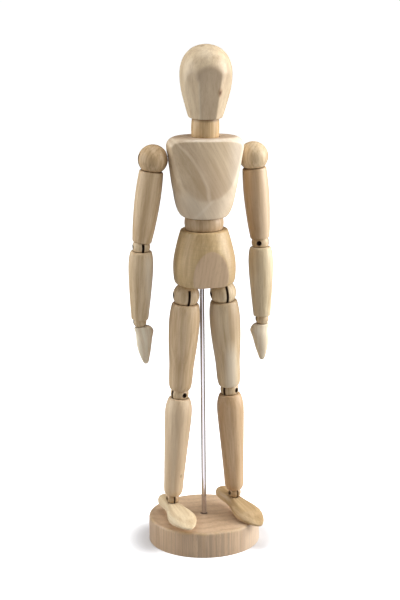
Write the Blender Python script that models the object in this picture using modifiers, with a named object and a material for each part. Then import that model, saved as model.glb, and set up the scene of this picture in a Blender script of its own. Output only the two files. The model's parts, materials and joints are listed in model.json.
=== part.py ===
"""Wooden artist mannequin on a turned base, standing in a relaxed pose.

Turned hardwood limbs sit on hardwood balls. Each ball swivels on the limb above it, and the limb below it
swings on a steel cross pin: a wire eye runs in the ball's saw slot, round the pin, and a coil in the limb's
bore keeps the cup pressed on the ball. Metres, +Z up, the figure faces -Y and its left side is +X.
"""

import math

import bmesh
import bpy
from mathutils import Matrix, Vector

# Overall sizes of the stand
BASE_RADIUS = 0.0339
BASE_HEIGHT = 0.0159
BASE_EDGE = 0.0018
ROD_RADIUS = 0.00145
ROD_TOP = 0.1735
ROD_SEAT = 0.0040

# Torso heights above the table and the body's place in front of the rod
BODY_Y = -0.0061
PELVIS_BOTTOM = 0.1640
PELVIS_TOP = 0.1966
WAIST_CENTRE = 0.2006
WAIST_RADIUS = 0.0116
CHEST_BOTTOM = 0.0039
CHEST_TOP = 0.0510
NECK_CENTRE = 0.0556
HEAD_BOTTOM = 0.0064
HEAD_TOP = 0.0488
NECK_DOME = 0.0100

# Shoulders, measured in the chest's frame from the waist ball's centre
SHOULDER_X = 0.0305
SHOULDER_Y = 0.0029
SHOULDER_Z = 0.0379
SHOULDER_FLAT = 0.0080
CHEST_SIDE_SLOPE = math.radians(9.4)

# Hips, above the table
HIP_X = 0.0114
HIP_Z = 0.1572

# Ball radii and limb lengths from ball centre to ball centre
SHOULDER_RADIUS = 0.0088
ELBOW_RADIUS = 0.00525
WRIST_RADIUS = 0.0040
HIP_RADIUS = 0.0079
KNEE_RADIUS = 0.0055
ANKLE_RADIUS = 0.0039
UPPER_ARM_LENGTH = 0.0521
FOREARM_LENGTH = 0.0466
THIGH_LENGTH = 0.0616
SHIN_LENGTH = 0.0675

# Fits, hardware and mesh fineness
GAP = 0.0003
BORE_RADIUS = 0.0026
WIRE_RADIUS = 0.0004
COIL_RADIUS = 0.0017
EYE_RADIUS = 0.0017
BUTTON_SCALE = 1.9
PIN_RADIUS = 0.0011
WRIST_PIN_RADIUS = 0.0007
SLOT_WIDTH = 0.0013
SLOT_REACH = EYE_RADIUS + WIRE_RADIUS + GAP
TAIL_HOLE = 0.00115
TORSO_STEPS = 20
LIMB_STEPS = 14
BALL_SEGMENTS = 14
BALL_RINGS = 8
CUP_SEGMENTS = 16
CUP_RINGS = 10
TORSO_CUP_SEGMENTS = 20
TORSO_CUP_RINGS = 12
CUP_ARC_STEPS = 3
DRILL_SEGMENTS = 8
TAIL_SEGMENTS = 6
BORE_SEGMENTS = 10

# Pose in degrees: out is away from the body, back is towards +Y, turn is about the vertical
CHEST_LEAN = 1.3
HEAD_TURN = -5.0
ARM_POSE = {
    "left": {"upper": (4.2, -1.3), "fore": (0.4, -2.8), "hand": (0.8, 3.1), "elbow_pin": -25.0},
    "right": {"upper": (8.4, 1.3), "fore": (1.1, 4.1), "hand": (-7.1, -2.4), "elbow_pin": 90.0},
}
LEG_POSE = {
    "left": {"thigh": (4.0, 2.2), "shin": (2.9, 1.5), "hip_pin": 95.0, "knee_pin": 38.0, "foot": (15.0, 9.5)},
    "right": {"thigh": (3.7, 2.8), "shin": (4.1, 1.5), "hip_pin": 90.0, "knee_pin": 20.0, "foot": (5.0, 3.5)},
}
SIDES = {"left": 1.0, "right": -1.0}

# Finishes
BEECH = (0.80, 0.66, 0.47, 1.0)
BASE_WOOD = (0.68, 0.52, 0.36, 1.0)
STEEL = (0.62, 0.61, 0.60, 1.0)


# Scene, materials and placing

for old in list(bpy.data.objects):
    bpy.data.objects.remove(old, do_unlink=True)

parts = bpy.data.collections.new("artist_mannequin")
cutters = bpy.data.collections.new("cutters")
bpy.context.scene.collection.children.link(parts)
bpy.context.scene.collection.children.link(cutters)


def finish(name, colour, roughness, metallic):
    """One Principled material."""
    material = bpy.data.materials.new(name)
    material.use_nodes = True
    shader = material.node_tree.nodes["Principled BSDF"]
    shader.inputs["Base Color"].default_value = colour
    shader.inputs["Roughness"].default_value = roughness
    shader.inputs["Metallic"].default_value = metallic
    return material


wood = finish("beech", BEECH, 0.55, 0.0)
base_wood = finish("base_wood", BASE_WOOD, 0.6, 0.0)
steel = finish("steel", STEEL, 0.25, 1.0)

frames = {}
empties = {}


def body(name, matrix, parent=None):
    """An empty on a body's joint axis, hung from the body that carries it."""
    empty = bpy.data.objects.new("joint_" + name, None)
    empty.empty_display_size = 0.005
    parts.objects.link(empty)
    frames[name] = matrix
    empties[name] = empty
    empty.parent = empties.get(parent)
    above = frames[parent] if parent else Matrix.Identity(4)
    empty.matrix_basis = above.inverted() @ matrix


def place(obj, body_name, matrix, material):
    """Puts a piece in the world, under its body's empty, with its finish."""
    parts.objects.link(obj)
    obj.data.materials.append(material)
    obj.parent = empties[body_name]
    obj.matrix_basis = frames[body_name].inverted() @ matrix
    return obj


def shift(x, y, z):
    return Matrix.Translation((x, y, z))


def joint_frame(centre, down, pin):
    """A frame at a ball's centre: -Z runs down the limb below, X along the pin."""
    up = -down.normalized()
    side = (pin - up * pin.dot(up)).normalized()
    ahead = up.cross(side)
    rows = Matrix((side, ahead, up)).transposed().to_4x4()
    return Matrix.Translation(centre) @ rows


def limb_direction(side, out, back):
    return Vector((side * math.tan(math.radians(out)), math.tan(math.radians(back)), -1.0)).normalized()


def heading(degrees):
    """A level direction: 0 is the figure's front, positive turns to its left."""
    angle = math.radians(degrees)
    return Vector((math.sin(angle), -math.cos(angle), 0.0))


# Mesh tools

def mesh_from(name, bm, smooth_angle=40.0):
    mesh = bpy.data.meshes.new(name)
    bm.to_mesh(mesh)
    bm.free()
    mesh.shade_smooth()
    mesh.set_sharp_from_angle(angle=math.radians(smooth_angle))
    return mesh


def turned(name, profile, steps, closed=False):
    """A lathe piece: a profile of (radius, height), down its outer side, turned about Z."""
    mesh = bpy.data.meshes.new(name)
    points = [(radius, 0.0, height) for radius, height in profile]
    edges = [(i, i + 1) for i in range(len(points) - 1)]
    if closed:
        edges.append((len(points) - 1, 0))
    mesh.from_pydata(points, edges, [])
    obj = bpy.data.objects.new(name, mesh)
    screw = obj.modifiers.new("turn", "SCREW")
    screw.steps = steps
    screw.render_steps = steps
    screw.use_merge_vertices = True
    screw.merge_threshold = 0.00001
    return obj


def ball(name, radius, segments=BALL_SEGMENTS, rings=BALL_RINGS):
    bm = bmesh.new()
    bmesh.ops.create_uvsphere(bm, u_segments=segments, v_segments=rings, radius=radius)
    return bpy.data.objects.new(name, mesh_from(name, bm))


def cylinder(name, radius, length, segments=DRILL_SEGMENTS):
    """A round bar along Z, centred on its origin."""
    bm = bmesh.new()
    bmesh.ops.create_cone(
        bm, cap_ends=True, segments=segments, radius1=radius, radius2=radius, depth=length
    )
    return bpy.data.objects.new(name, mesh_from(name, bm))


def box(name, low, high):
    bm = bmesh.new()
    bmesh.ops.create_cube(bm, size=1.0)
    low = Vector(low)
    size = Vector(high) - low
    for vertex in bm.verts:
        half = vertex.co + Vector((0.5, 0.5, 0.5))
        vertex.co = low + Vector((half.x * size.x, half.y * size.y, half.z * size.z))
    return bpy.data.objects.new(name, mesh_from(name, bm))


def loft(name, rings):
    """A closed skin over rings of equal point counts, each running anticlockwise seen from the last one."""
    bm = bmesh.new()
    loops = [[bm.verts.new(point) for point in ring] for ring in rings]
    count = len(loops[0])
    for lower, upper in zip(loops, loops[1:]):
        for i in range(count):
            j = (i + 1) % count
            bm.faces.new((lower[i], lower[j], upper[j], upper[i]))
    bm.faces.new(list(reversed(loops[0])))
    bm.faces.new(loops[-1])
    bmesh.ops.recalc_face_normals(bm, faces=bm.faces)
    return bpy.data.objects.new(name, mesh_from(name, bm))


def wire(name, points, button=0):
    """A bent wire through points; its last few points swell into a button."""
    curve = bpy.data.curves.new(name, "CURVE")
    curve.dimensions = "3D"
    curve.bevel_depth = WIRE_RADIUS
    curve.bevel_resolution = 0
    curve.use_fill_caps = True
    spline = curve.splines.new("POLY")
    spline.points.add(len(points) - 1)
    for i, point in enumerate(points):
        spline.points[i].co = (*point, 1.0)
        if i >= len(points) - button:
            spline.points[i].radius = BUTTON_SCALE
    return bpy.data.objects.new(name, curve)


def cut(obj, tool, matrix, operation="DIFFERENCE"):
    """A Boolean with a hidden tool that stands in the world at matrix."""
    tool.name = obj.name + "_tool"
    cutters.objects.link(tool)
    tool.matrix_world = matrix
    tool.hide_render = True
    tool.display_type = "WIRE"
    boolean = obj.modifiers.new("cut", "BOOLEAN")
    boolean.operation = operation
    boolean.solver = "EXACT"
    boolean.object = tool


def oval(height, half_width, front, back, power, count, centre_y=0.0):
    """A level superellipse ring that reaches front towards -Y and back towards +Y."""
    ring = []
    for i in range(count):
        angle = 2.0 * math.pi * i / count
        c = math.cos(angle)
        s = math.sin(angle)
        depth = back if s > 0.0 else front
        x = half_width * math.copysign(abs(c) ** (2.0 / power), c)
        y = depth * math.copysign(abs(s) ** (2.0 / power), s)
        ring.append((x, centre_y + y, height))
    return ring


def sanded(ring, reach, bow, turn):
    """A ring pressed behind a front that stands reach ahead of the axis, is turned, and falls away by bow."""
    slope = math.tan(turn)
    return [(x, max(y, bow * x * x - slope * x - reach), z) for x, y, z in ring]


def arc(centre, radius, start, end, steps):
    """Profile points on a sphere about the axis; angles in radians from straight up."""
    points = []
    for i in range(steps + 1):
        angle = start + (end - start) * i / steps
        points.append((radius * math.sin(angle), centre + radius * math.cos(angle)))
    return points


ALONG_X = Matrix.Rotation(math.pi / 2.0, 4, "Y")


# Pieces that every ball joint shares

def jointed_ball(
    name, radius, upper_axis, pin_length, pin_radius=PIN_RADIUS, slot_width=SLOT_WIDTH, stop=None
):
    """A ball with its saw slot, its pin hole and pin, and the hole for the tail from the limb above.

    upper_axis points out of the ball along the swivel axis. With stop, a local X reach, the pin hole is
    drilled from the +X side only and ends there; otherwise it goes right through.
    """
    frame = frames[name]
    piece = place(ball(name + "_ball", radius), name, frame, wood)
    reach = radius * 1.2
    slot = box("slot", (-slot_width / 2.0, -reach, -reach), (slot_width / 2.0, reach, SLOT_REACH))
    cut(piece, slot, frame)
    blind = -reach if stop is None else stop
    drill = cylinder("drill", pin_radius + GAP, reach - blind)
    cut(piece, drill, frame @ shift((reach + blind) / 2.0, 0.0, 0.0) @ ALONG_X)
    tail_hole = cylinder("tail_hole", TAIL_HOLE, reach, TAIL_SEGMENTS)
    up = Vector(upper_axis).to_track_quat("Z", "Y").to_matrix().to_4x4()
    centre = Matrix.Translation(frame.translation)
    cut(piece, tail_hole, centre @ up @ shift(0.0, 0.0, reach / 2.0 + SLOT_REACH - GAP))
    pin = cylinder(name + "_pin", pin_radius, pin_length)
    place(pin, name, frame @ ALONG_X, steel)
    return piece


def limb(name, outline, length, upper, lower):
    """A turned limb with a through bore and a cup at each end.

    upper and lower are (ball radius, distance of the cup's rim from that ball's centre).
    """
    upper_cup = upper[0] + GAP
    lower_cup = lower[0] + GAP
    low_rim = math.acos(lower[1] / lower_cup)
    low_bore = math.asin(BORE_RADIUS / lower_cup)
    top_rim = math.pi - math.acos(upper[1] / upper_cup)
    top_bore = math.pi - math.asin(BORE_RADIUS / upper_cup)
    profile = list(outline)
    profile += arc(-length, lower_cup, low_rim, low_bore, CUP_ARC_STEPS)
    profile += arc(0.0, upper_cup, top_bore, top_rim, CUP_ARC_STEPS)
    place(turned(name, profile, LIMB_STEPS, closed=True), name, frames[name], wood)


def eye():
    """A wire eye about the X axis that runs down into a shank on -Z."""
    start = math.radians(-50.0)
    end = math.radians(225.0)
    steps = 7
    points = []
    for i in range(steps + 1):
        angle = start + (end - start) * i / steps
        points.append((0.0, EYE_RADIUS * math.cos(angle), EYE_RADIUS * math.sin(angle)))
    points.append((0.0, 0.0, -1.5 * EYE_RADIUS))
    return points


def coil(start, end, turns):
    """A helix on the Z axis between two heights."""
    per_turn = 6
    count = turns * per_turn
    points = []
    for i in range(count + 1):
        angle = 2.0 * math.pi * i / per_turn
        height = start + (end - start) * i / count
        points.append((COIL_RADIUS * math.cos(angle), COIL_RADIUS * math.sin(angle), height))
    return points


LEAD = 0.0010
TAIL_BUTTON = 0.0010
COIL_TURNS = 3
COIL_PITCH = 0.0018
COIL_CLEARANCE = 0.004


def level_coil(half):
    """A helix on the X axis, from -half to half."""
    return [(z, y, -x) for x, y, z in coil(-half, half, COIL_TURNS)]


def tail(end, direction):
    """The last three points of a spring on the Z axis: a straight run and a button that stops at end."""
    return [(0.0, 0.0, end - direction * TAIL_BUTTON * part) for part in (1.0, 0.8, 0.0)]


def limb_spring(name, length, cup_depth, next_radius):
    """An eye round the pin above, a coil in the bore and a tail with a button in the ball below."""
    top = -cup_depth - COIL_CLEARANCE
    bottom = top - COIL_PITCH * COIL_TURNS
    tail_end = -length + max(0.62 * next_radius, SLOT_REACH + GAP)
    points = eye() + [(0.0, 0.0, top + LEAD)] + coil(top, bottom, COIL_TURNS)
    points += [(0.0, 0.0, bottom - LEAD)] + tail(tail_end, -1.0)
    place(wire(name + "_spring", points, button=2), name, frames[name], steel)


# Stand

body("stand", Matrix.Identity(4))
ROD_GAP = 0.0002
FOOT_EDGE = 0.0008
rod_hole = ROD_RADIUS + ROD_GAP
base_outline = [(0.0, ROD_SEAT - GAP), (rod_hole, ROD_SEAT - GAP), (rod_hole, BASE_HEIGHT)]
for step in range(4):
    turn = math.radians(30.0 * step)
    base_outline.append((
        BASE_RADIUS - BASE_EDGE * (1.0 - math.sin(turn)),
        BASE_HEIGHT - BASE_EDGE * (1.0 - math.cos(turn)),
    ))
base_outline += [(BASE_RADIUS, FOOT_EDGE), (BASE_RADIUS - FOOT_EDGE, 0.0), (0.0, 0.0)]
place(turned("base", base_outline, 32), "stand", Matrix.Identity(4), base_wood)
rod = cylinder("support_rod", ROD_RADIUS, ROD_TOP - ROD_SEAT, segments=LIMB_STEPS)
place(rod, "stand", shift(0.0, 0.0, (ROD_TOP + ROD_SEAT) / 2.0), steel)


# Pelvis: a turned barrel with a sanded front, a cup for the waist, shallow hip sockets and the rod's hole

body("pelvis", shift(0.0, 0.0, PELVIS_BOTTOM), "stand")
pelvis_frame = shift(0.0, BODY_Y, 0.0)
waist_cup = WAIST_RADIUS + GAP
cup_rim = math.pi - math.acos((WAIST_CENTRE - PELVIS_TOP) / waist_cup)
cup_bore = math.pi - math.asin(BORE_RADIUS / waist_cup)
BORE_FLOOR = 0.1755
pelvis_outline = [(0.0, BORE_FLOOR), (BORE_RADIUS, BORE_FLOOR)]
pelvis_outline += arc(WAIST_CENTRE, waist_cup, cup_bore, cup_rim, 5)
pelvis_outline += [
    (0.0134, PELVIS_TOP), (0.0142, 0.1956), (0.0156, 0.1910), (0.0171, 0.1850), (0.0182, 0.1795),
    (0.0186, 0.1750), (0.0185, 0.1700), (0.0181, 0.1664), (0.0172, 0.1646), (0.0157, PELVIS_BOTTOM),
    (0.0, PELVIS_BOTTOM),
]
pelvis = place(turned("pelvis", pelvis_outline, TORSO_STEPS), "pelvis", pelvis_frame, wood)

FRONT_BOTTOM = 0.0148
FRONT_TOP = 0.0170
FRONT_HEIGHT = 0.0240
front_tilt = math.atan2(FRONT_TOP - FRONT_BOTTOM, FRONT_HEIGHT)
front_plane = pelvis_frame @ shift(0.0, -FRONT_BOTTOM, PELVIS_BOTTOM) @ Matrix.Rotation(front_tilt, 4, "X")
cut(pelvis, box("front", (-0.03, -0.03, -0.01), (0.03, 0.0, 0.06)), front_plane)
for side in SIDES.values():
    socket = ball("socket", HIP_RADIUS + GAP, CUP_SEGMENTS, CUP_RINGS)
    cut(pelvis, socket, shift(side * HIP_X, BODY_Y, HIP_Z))
GROOVE_TOP = 0.1725
GROOVE_HALF = HIP_X + 0.0022
groove_foot = PELVIS_BOTTOM - HIP_RADIUS
groove = box("groove", (-GROOVE_HALF, -BORE_RADIUS, groove_foot), (GROOVE_HALF, BORE_RADIUS, GROOVE_TOP))
cut(pelvis, groove, pelvis_frame)
ROD_SOCKET = 0.020
rod_socket = cylinder("rod_socket", rod_hole, ROD_SOCKET, LIMB_STEPS)
cut(pelvis, rod_socket, shift(0.0, 0.0, ROD_TOP + GAP - ROD_SOCKET / 2.0))

# Spring across the underside: a level coil whose ends turn down into the hip balls
HIP_COIL_Z = 0.1690
HIP_COIL_HALF = 0.0055
HIP_TAIL = 0.0042
hip_tail = HIP_Z + HIP_TAIL
left_end = [
    (-HIP_X, 0.0, hip_tail - HIP_COIL_Z),
    (-HIP_X, 0.0, hip_tail + TAIL_BUTTON - HIP_COIL_Z),
    (-HIP_X, 0.0, -LEAD),
    (-HIP_X + LEAD, 0.0, 0.0),
    (-HIP_COIL_HALF - LEAD, 0.0, 0.0),
]
right_end = [(-x, y, z) for x, y, z in reversed(left_end)]
hip_spring = wire("hip_spring", left_end + level_coil(HIP_COIL_HALF) + right_end)
place(hip_spring, "pelvis", shift(0.0, BODY_Y, HIP_COIL_Z), steel)

# Spring up into the waist
PELVIS_COIL_TOP = 0.1850
PELVIS_COIL_BOTTOM = 0.1785
WAIST_TAIL = 0.0055
pelvis_wire = coil(PELVIS_COIL_BOTTOM, PELVIS_COIL_TOP, COIL_TURNS) + [(0.0, 0.0, PELVIS_COIL_TOP + LEAD)]
pelvis_wire += tail(WAIST_CENTRE - WAIST_TAIL, 1.0)
place(wire("pelvis_spring", pelvis_wire, button=2), "pelvis", pelvis_frame, steel)


# Waist ball: turns on the pelvis, and its hidden pin carries the chest

waist_centre = Vector((0.0, BODY_Y, WAIST_CENTRE))
body("waist", Matrix.Translation(waist_centre), "pelvis")
waist = place(ball("waist", WAIST_RADIUS, TORSO_STEPS, 12), "waist", frames["waist"], wood)
half_slot = SLOT_WIDTH / 2.0
SLOT_FOOT = -0.0026
HIDDEN_PIN = 0.0090
PIN_STOP = -0.0050
TAIL_ROOM = 0.0035


def hidden_joint(piece, frame, slot_half, slot_top, drill_end, tail_end):
    """The slot, the blind pin hole from the left and the tail hole from below of a torso ball."""
    cut(piece, box("slot", (-half_slot, -slot_half, SLOT_FOOT), (half_slot, slot_half, slot_top)), frame)
    drill = cylinder("drill", PIN_RADIUS + GAP, drill_end - PIN_STOP)
    cut(piece, drill, frame @ shift((drill_end + PIN_STOP) / 2.0, 0.0, 0.0) @ ALONG_X)
    tail_hole = cylinder("tail_hole", TAIL_HOLE, tail_end - TAIL_ROOM, TAIL_SEGMENTS)
    cut(piece, tail_hole, frame @ shift(0.0, 0.0, -(tail_end + TAIL_ROOM) / 2.0))


hidden_joint(waist, frames["waist"], 0.0066, 0.0130, 0.0130, 0.0135)
place(cylinder("waist_pin", PIN_RADIUS, HIDDEN_PIN), "waist", frames["waist"] @ ALONG_X, steel)


# Chest: a tapered block with rounded edges, its front sanded to a broad, slightly bowed face

lean = Matrix.Rotation(math.radians(CHEST_LEAN), 4, "Y")
body("chest", Matrix.Translation(waist_centre) @ lean, "waist")
chest_frame = frames["chest"]
# The chest's sections: height, half-width, reach to the front before sanding and to the back, squareness
chest_sections = [
    (CHEST_BOTTOM, 0.0128, 0.0122, 0.0124, 2.2), (0.0052, 0.0145, 0.0126, 0.0126, 2.2),
    (0.0085, 0.0163, 0.0128, 0.0124, 2.2), (0.0140, 0.0179, 0.0133, 0.0123, 2.2),
    (0.0190, 0.0188, 0.0139, 0.0126, 2.2), (0.0240, 0.0198, 0.0147, 0.0129, 2.2),
    (0.0379, 0.0220, 0.0163, 0.0134, 2.1), (0.0445, 0.0231, 0.0160, 0.0132, 2.1),
    (0.0475, 0.0230, 0.0149, 0.0130, 2.1), (0.0495, 0.0217, 0.0134, 0.0127, 2.1),
    (CHEST_TOP, 0.0178, 0.0108, 0.0118, 2.1),
]
CHEST_POINTS = 28
CHEST_FRONT = 0.0115
CHEST_TILT = 0.055
CHEST_BOW = 11.0
CHEST_TURN = math.radians(1.7)


def chest_ring(height, *section):
    reach = CHEST_FRONT + (CHEST_TOP - height) * CHEST_TILT
    return sanded(oval(height, *section, CHEST_POINTS), reach, CHEST_BOW, CHEST_TURN)


chest_rings = [chest_ring(*section) for section in chest_sections]
chest = place(loft("chest", chest_rings), "chest", chest_frame, wood)
cut(chest, ball("waist_cup", waist_cup, TORSO_CUP_SEGMENTS, TORSO_CUP_RINGS), chest_frame)
NECK_SEAT = 0.0491
NECK_SEAT_RADIUS = 0.0085
SEAT_TOOL = 0.010
neck_seat = cylinder("neck_seat", NECK_SEAT_RADIUS, SEAT_TOOL, TORSO_STEPS)
cut(chest, neck_seat, chest_frame @ shift(0.0, 0.0, NECK_SEAT + SEAT_TOOL / 2.0))
spine_bore = cylinder("spine_bore", BORE_RADIUS, CHEST_TOP, BORE_SEGMENTS)
cut(chest, spine_bore, chest_frame @ shift(0.0, 0.0, CHEST_BOTTOM + CHEST_TOP / 2.0))
SHOULDER_BORE_Z = 0.0398
shoulder_bore = cylinder("shoulder_bore", BORE_RADIUS, 2.0 * SHOULDER_X, BORE_SEGMENTS)
cut(chest, shoulder_bore, chest_frame @ shift(0.0, SHOULDER_Y, SHOULDER_BORE_Z) @ ALONG_X)

# Spine spring: its eye hangs on the waist pin and its tail reaches into the neck
SPINE_COIL_BOTTOM = 0.0160
SPINE_COIL_TOP = 0.0240
NECK_TAIL = 0.0040
spine = [(x, y, -z) for x, y, z in eye()] + [(0.0, 0.0, SPINE_COIL_BOTTOM - LEAD)]
spine += coil(SPINE_COIL_BOTTOM, SPINE_COIL_TOP, COIL_TURNS)
spine += [(0.0, 0.0, SPINE_COIL_TOP + LEAD)] + tail(NECK_CENTRE - NECK_TAIL, 1.0)
place(wire("spine_spring", spine, button=2), "chest", chest_frame, steel)

# Shoulder spring: a level coil across the chest, its tails running out along the shoulder axes
axis_drop = math.tan(CHEST_SIDE_SLOPE)
SHOULDER_COIL_HALF = 0.0070
TAIL_REACH = 0.0050


def on_shoulder_axis(x):
    return (x, 0.0, SHOULDER_Z - SHOULDER_BORE_Z + (SHOULDER_X - x) * axis_drop)


AXIS_MEETS = 0.0180
tail_stop = SHOULDER_X - TAIL_REACH
left_tail = [(SHOULDER_COIL_HALF + LEAD, 0.0, 0.0)]
left_tail += [on_shoulder_axis(x) for x in (AXIS_MEETS, tail_stop - TAIL_BUTTON, tail_stop)]
right_tail = [(-x, y, z) for x, y, z in reversed(left_tail)]
shoulder_wire = wire("shoulder_spring", right_tail + level_coil(SHOULDER_COIL_HALF) + left_tail)
place(shoulder_wire, "chest", chest_frame @ shift(0.0, SHOULDER_Y, SHOULDER_BORE_Z), steel)


# Neck: a short barrel that turns on the chest, domed on top for the head to nod on

turn_head = Matrix.Rotation(math.radians(HEAD_TURN), 4, "Z")
body("neck", chest_frame @ shift(0.0, 0.0, NECK_CENTRE) @ turn_head, "chest")
neck_frame = frames["neck"]
NECK_BOTTOM = NECK_SEAT + GAP - NECK_CENTRE
DOME_EDGE = math.radians(49.0)
neck_outline = arc(0.0, NECK_DOME, 0.0, DOME_EDGE, 4)
neck_outline += [(0.0080, 0.0052), (0.00825, 0.0005), (0.0081, -0.0035)]
neck_outline += [(0.0078, NECK_BOTTOM), (0.0, NECK_BOTTOM)]
neck = place(turned("neck", neck_outline, TORSO_STEPS), "neck", neck_frame, wood)
hidden_joint(neck, neck_frame, 0.0046, 0.0110, 0.0090, 0.0092)
place(cylinder("neck_pin", PIN_RADIUS, HIDDEN_PIN), "neck", neck_frame @ ALONG_X, steel)


# Head: an egg, flat at the bottom, with a sanded face and two cheeks

body("head", neck_frame, "neck")
# Height, half-width and half-depth of the head's sections
head_sections = [
    (HEAD_BOTTOM, 0.0094, 0.0103),
    (0.0073, 0.0101, 0.0110),
    (0.0140, 0.0122, 0.0132),
    (0.0220, 0.0143, 0.0154),
    (0.0300, 0.0153, 0.0165),
    (0.0362, 0.0149, 0.0161),
    (0.0415, 0.0130, 0.0140),
    (0.0455, 0.0096, 0.0104),
    (0.0479, 0.0053, 0.0057),
    (HEAD_TOP, 0.0012, 0.0013),
]
head_rings = [oval(z, wide, deep, deep, 2.0, TORSO_STEPS) for z, wide, deep in head_sections]
head = place(loft("head", head_rings), "head", neck_frame, wood)
FACE_BOTTOM = 0.0092
FACE_SLOPE = math.radians(12.3)
CHEEK_TURN = math.radians(42.0)
CHEEK_BOTTOM = 0.0099
face_block = ((-0.03, -0.03, -0.012), (0.03, 0.0, 0.06))
for turn, distance in ((0.0, FACE_BOTTOM), (CHEEK_TURN, CHEEK_BOTTOM), (-CHEEK_TURN, CHEEK_BOTTOM)):
    face_plane = neck_frame @ Matrix.Rotation(turn, 4, "Z") @ shift(0.0, -distance, HEAD_BOTTOM)
    cut(head, box("face", *face_block), face_plane @ Matrix.Rotation(FACE_SLOPE, 4, "X"))
cut(head, ball("neck_cup", NECK_DOME + GAP, TORSO_CUP_SEGMENTS, TORSO_CUP_RINGS), neck_frame)
HEAD_BORE_TOP = 0.0260
head_bore = cylinder("head_bore", BORE_RADIUS, HEAD_BORE_TOP - HEAD_BOTTOM, BORE_SEGMENTS)
cut(head, head_bore, neck_frame @ shift(0.0, 0.0, (HEAD_BORE_TOP + HEAD_BOTTOM) / 2.0))
HEAD_COIL_BOTTOM = 0.0135
HEAD_COIL_TOP = 0.0215
head_wire = [(x, y, -z) for x, y, z in eye()] + [(0.0, 0.0, HEAD_COIL_BOTTOM - LEAD)]
head_wire += coil(HEAD_COIL_BOTTOM, HEAD_COIL_TOP, COIL_TURNS)
place(wire("head_spring", head_wire), "head", neck_frame, steel)


# Arms

UPPER_ARM_RIM = 0.0069
ELBOW_RIM = 0.0027
WRIST_RIM = 0.0018
upper_arm_outline = [
    (0.0067, -UPPER_ARM_RIM), (0.0071, -0.0084), (0.0075, -0.0145), (0.0076, -0.0220), (0.0073, -0.0310),
    (0.0065, -0.0410), (0.0059, -0.0470), (0.0054, ELBOW_RIM - UPPER_ARM_LENGTH),
]
forearm_outline = [
    (0.0055, -ELBOW_RIM), (0.0064, -0.0037), (0.0071, -0.0070), (0.00735, -0.0120), (0.0071, -0.0200),
    (0.0064, -0.0300), (0.0054, -0.0420), (0.0048, WRIST_RIM - FOREARM_LENGTH),
]
# Height, shift towards the body, half-width across the palm and half-thickness of the mitten hand
hand_sections = [
    (-0.0030, 0.0004, 0.0044, 0.0036), (-0.0048, 0.0013, 0.0052, 0.0040), (-0.0072, 0.0019, 0.0054, 0.0041),
    (-0.0110, 0.0011, 0.0049, 0.0039), (-0.0150, 0.0005, 0.0044, 0.0035), (-0.0195, 0.0002, 0.0035, 0.0028),
    (-0.0235, 0.0000, 0.0022, 0.0019), (-0.0263, 0.0000, 0.0006, 0.0006),
]
HAND_POINTS = 14
TONGUE_HALF = 0.0005
TONGUE_ROUND = 0.0018
WRIST_SLOT = 0.0017

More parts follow.
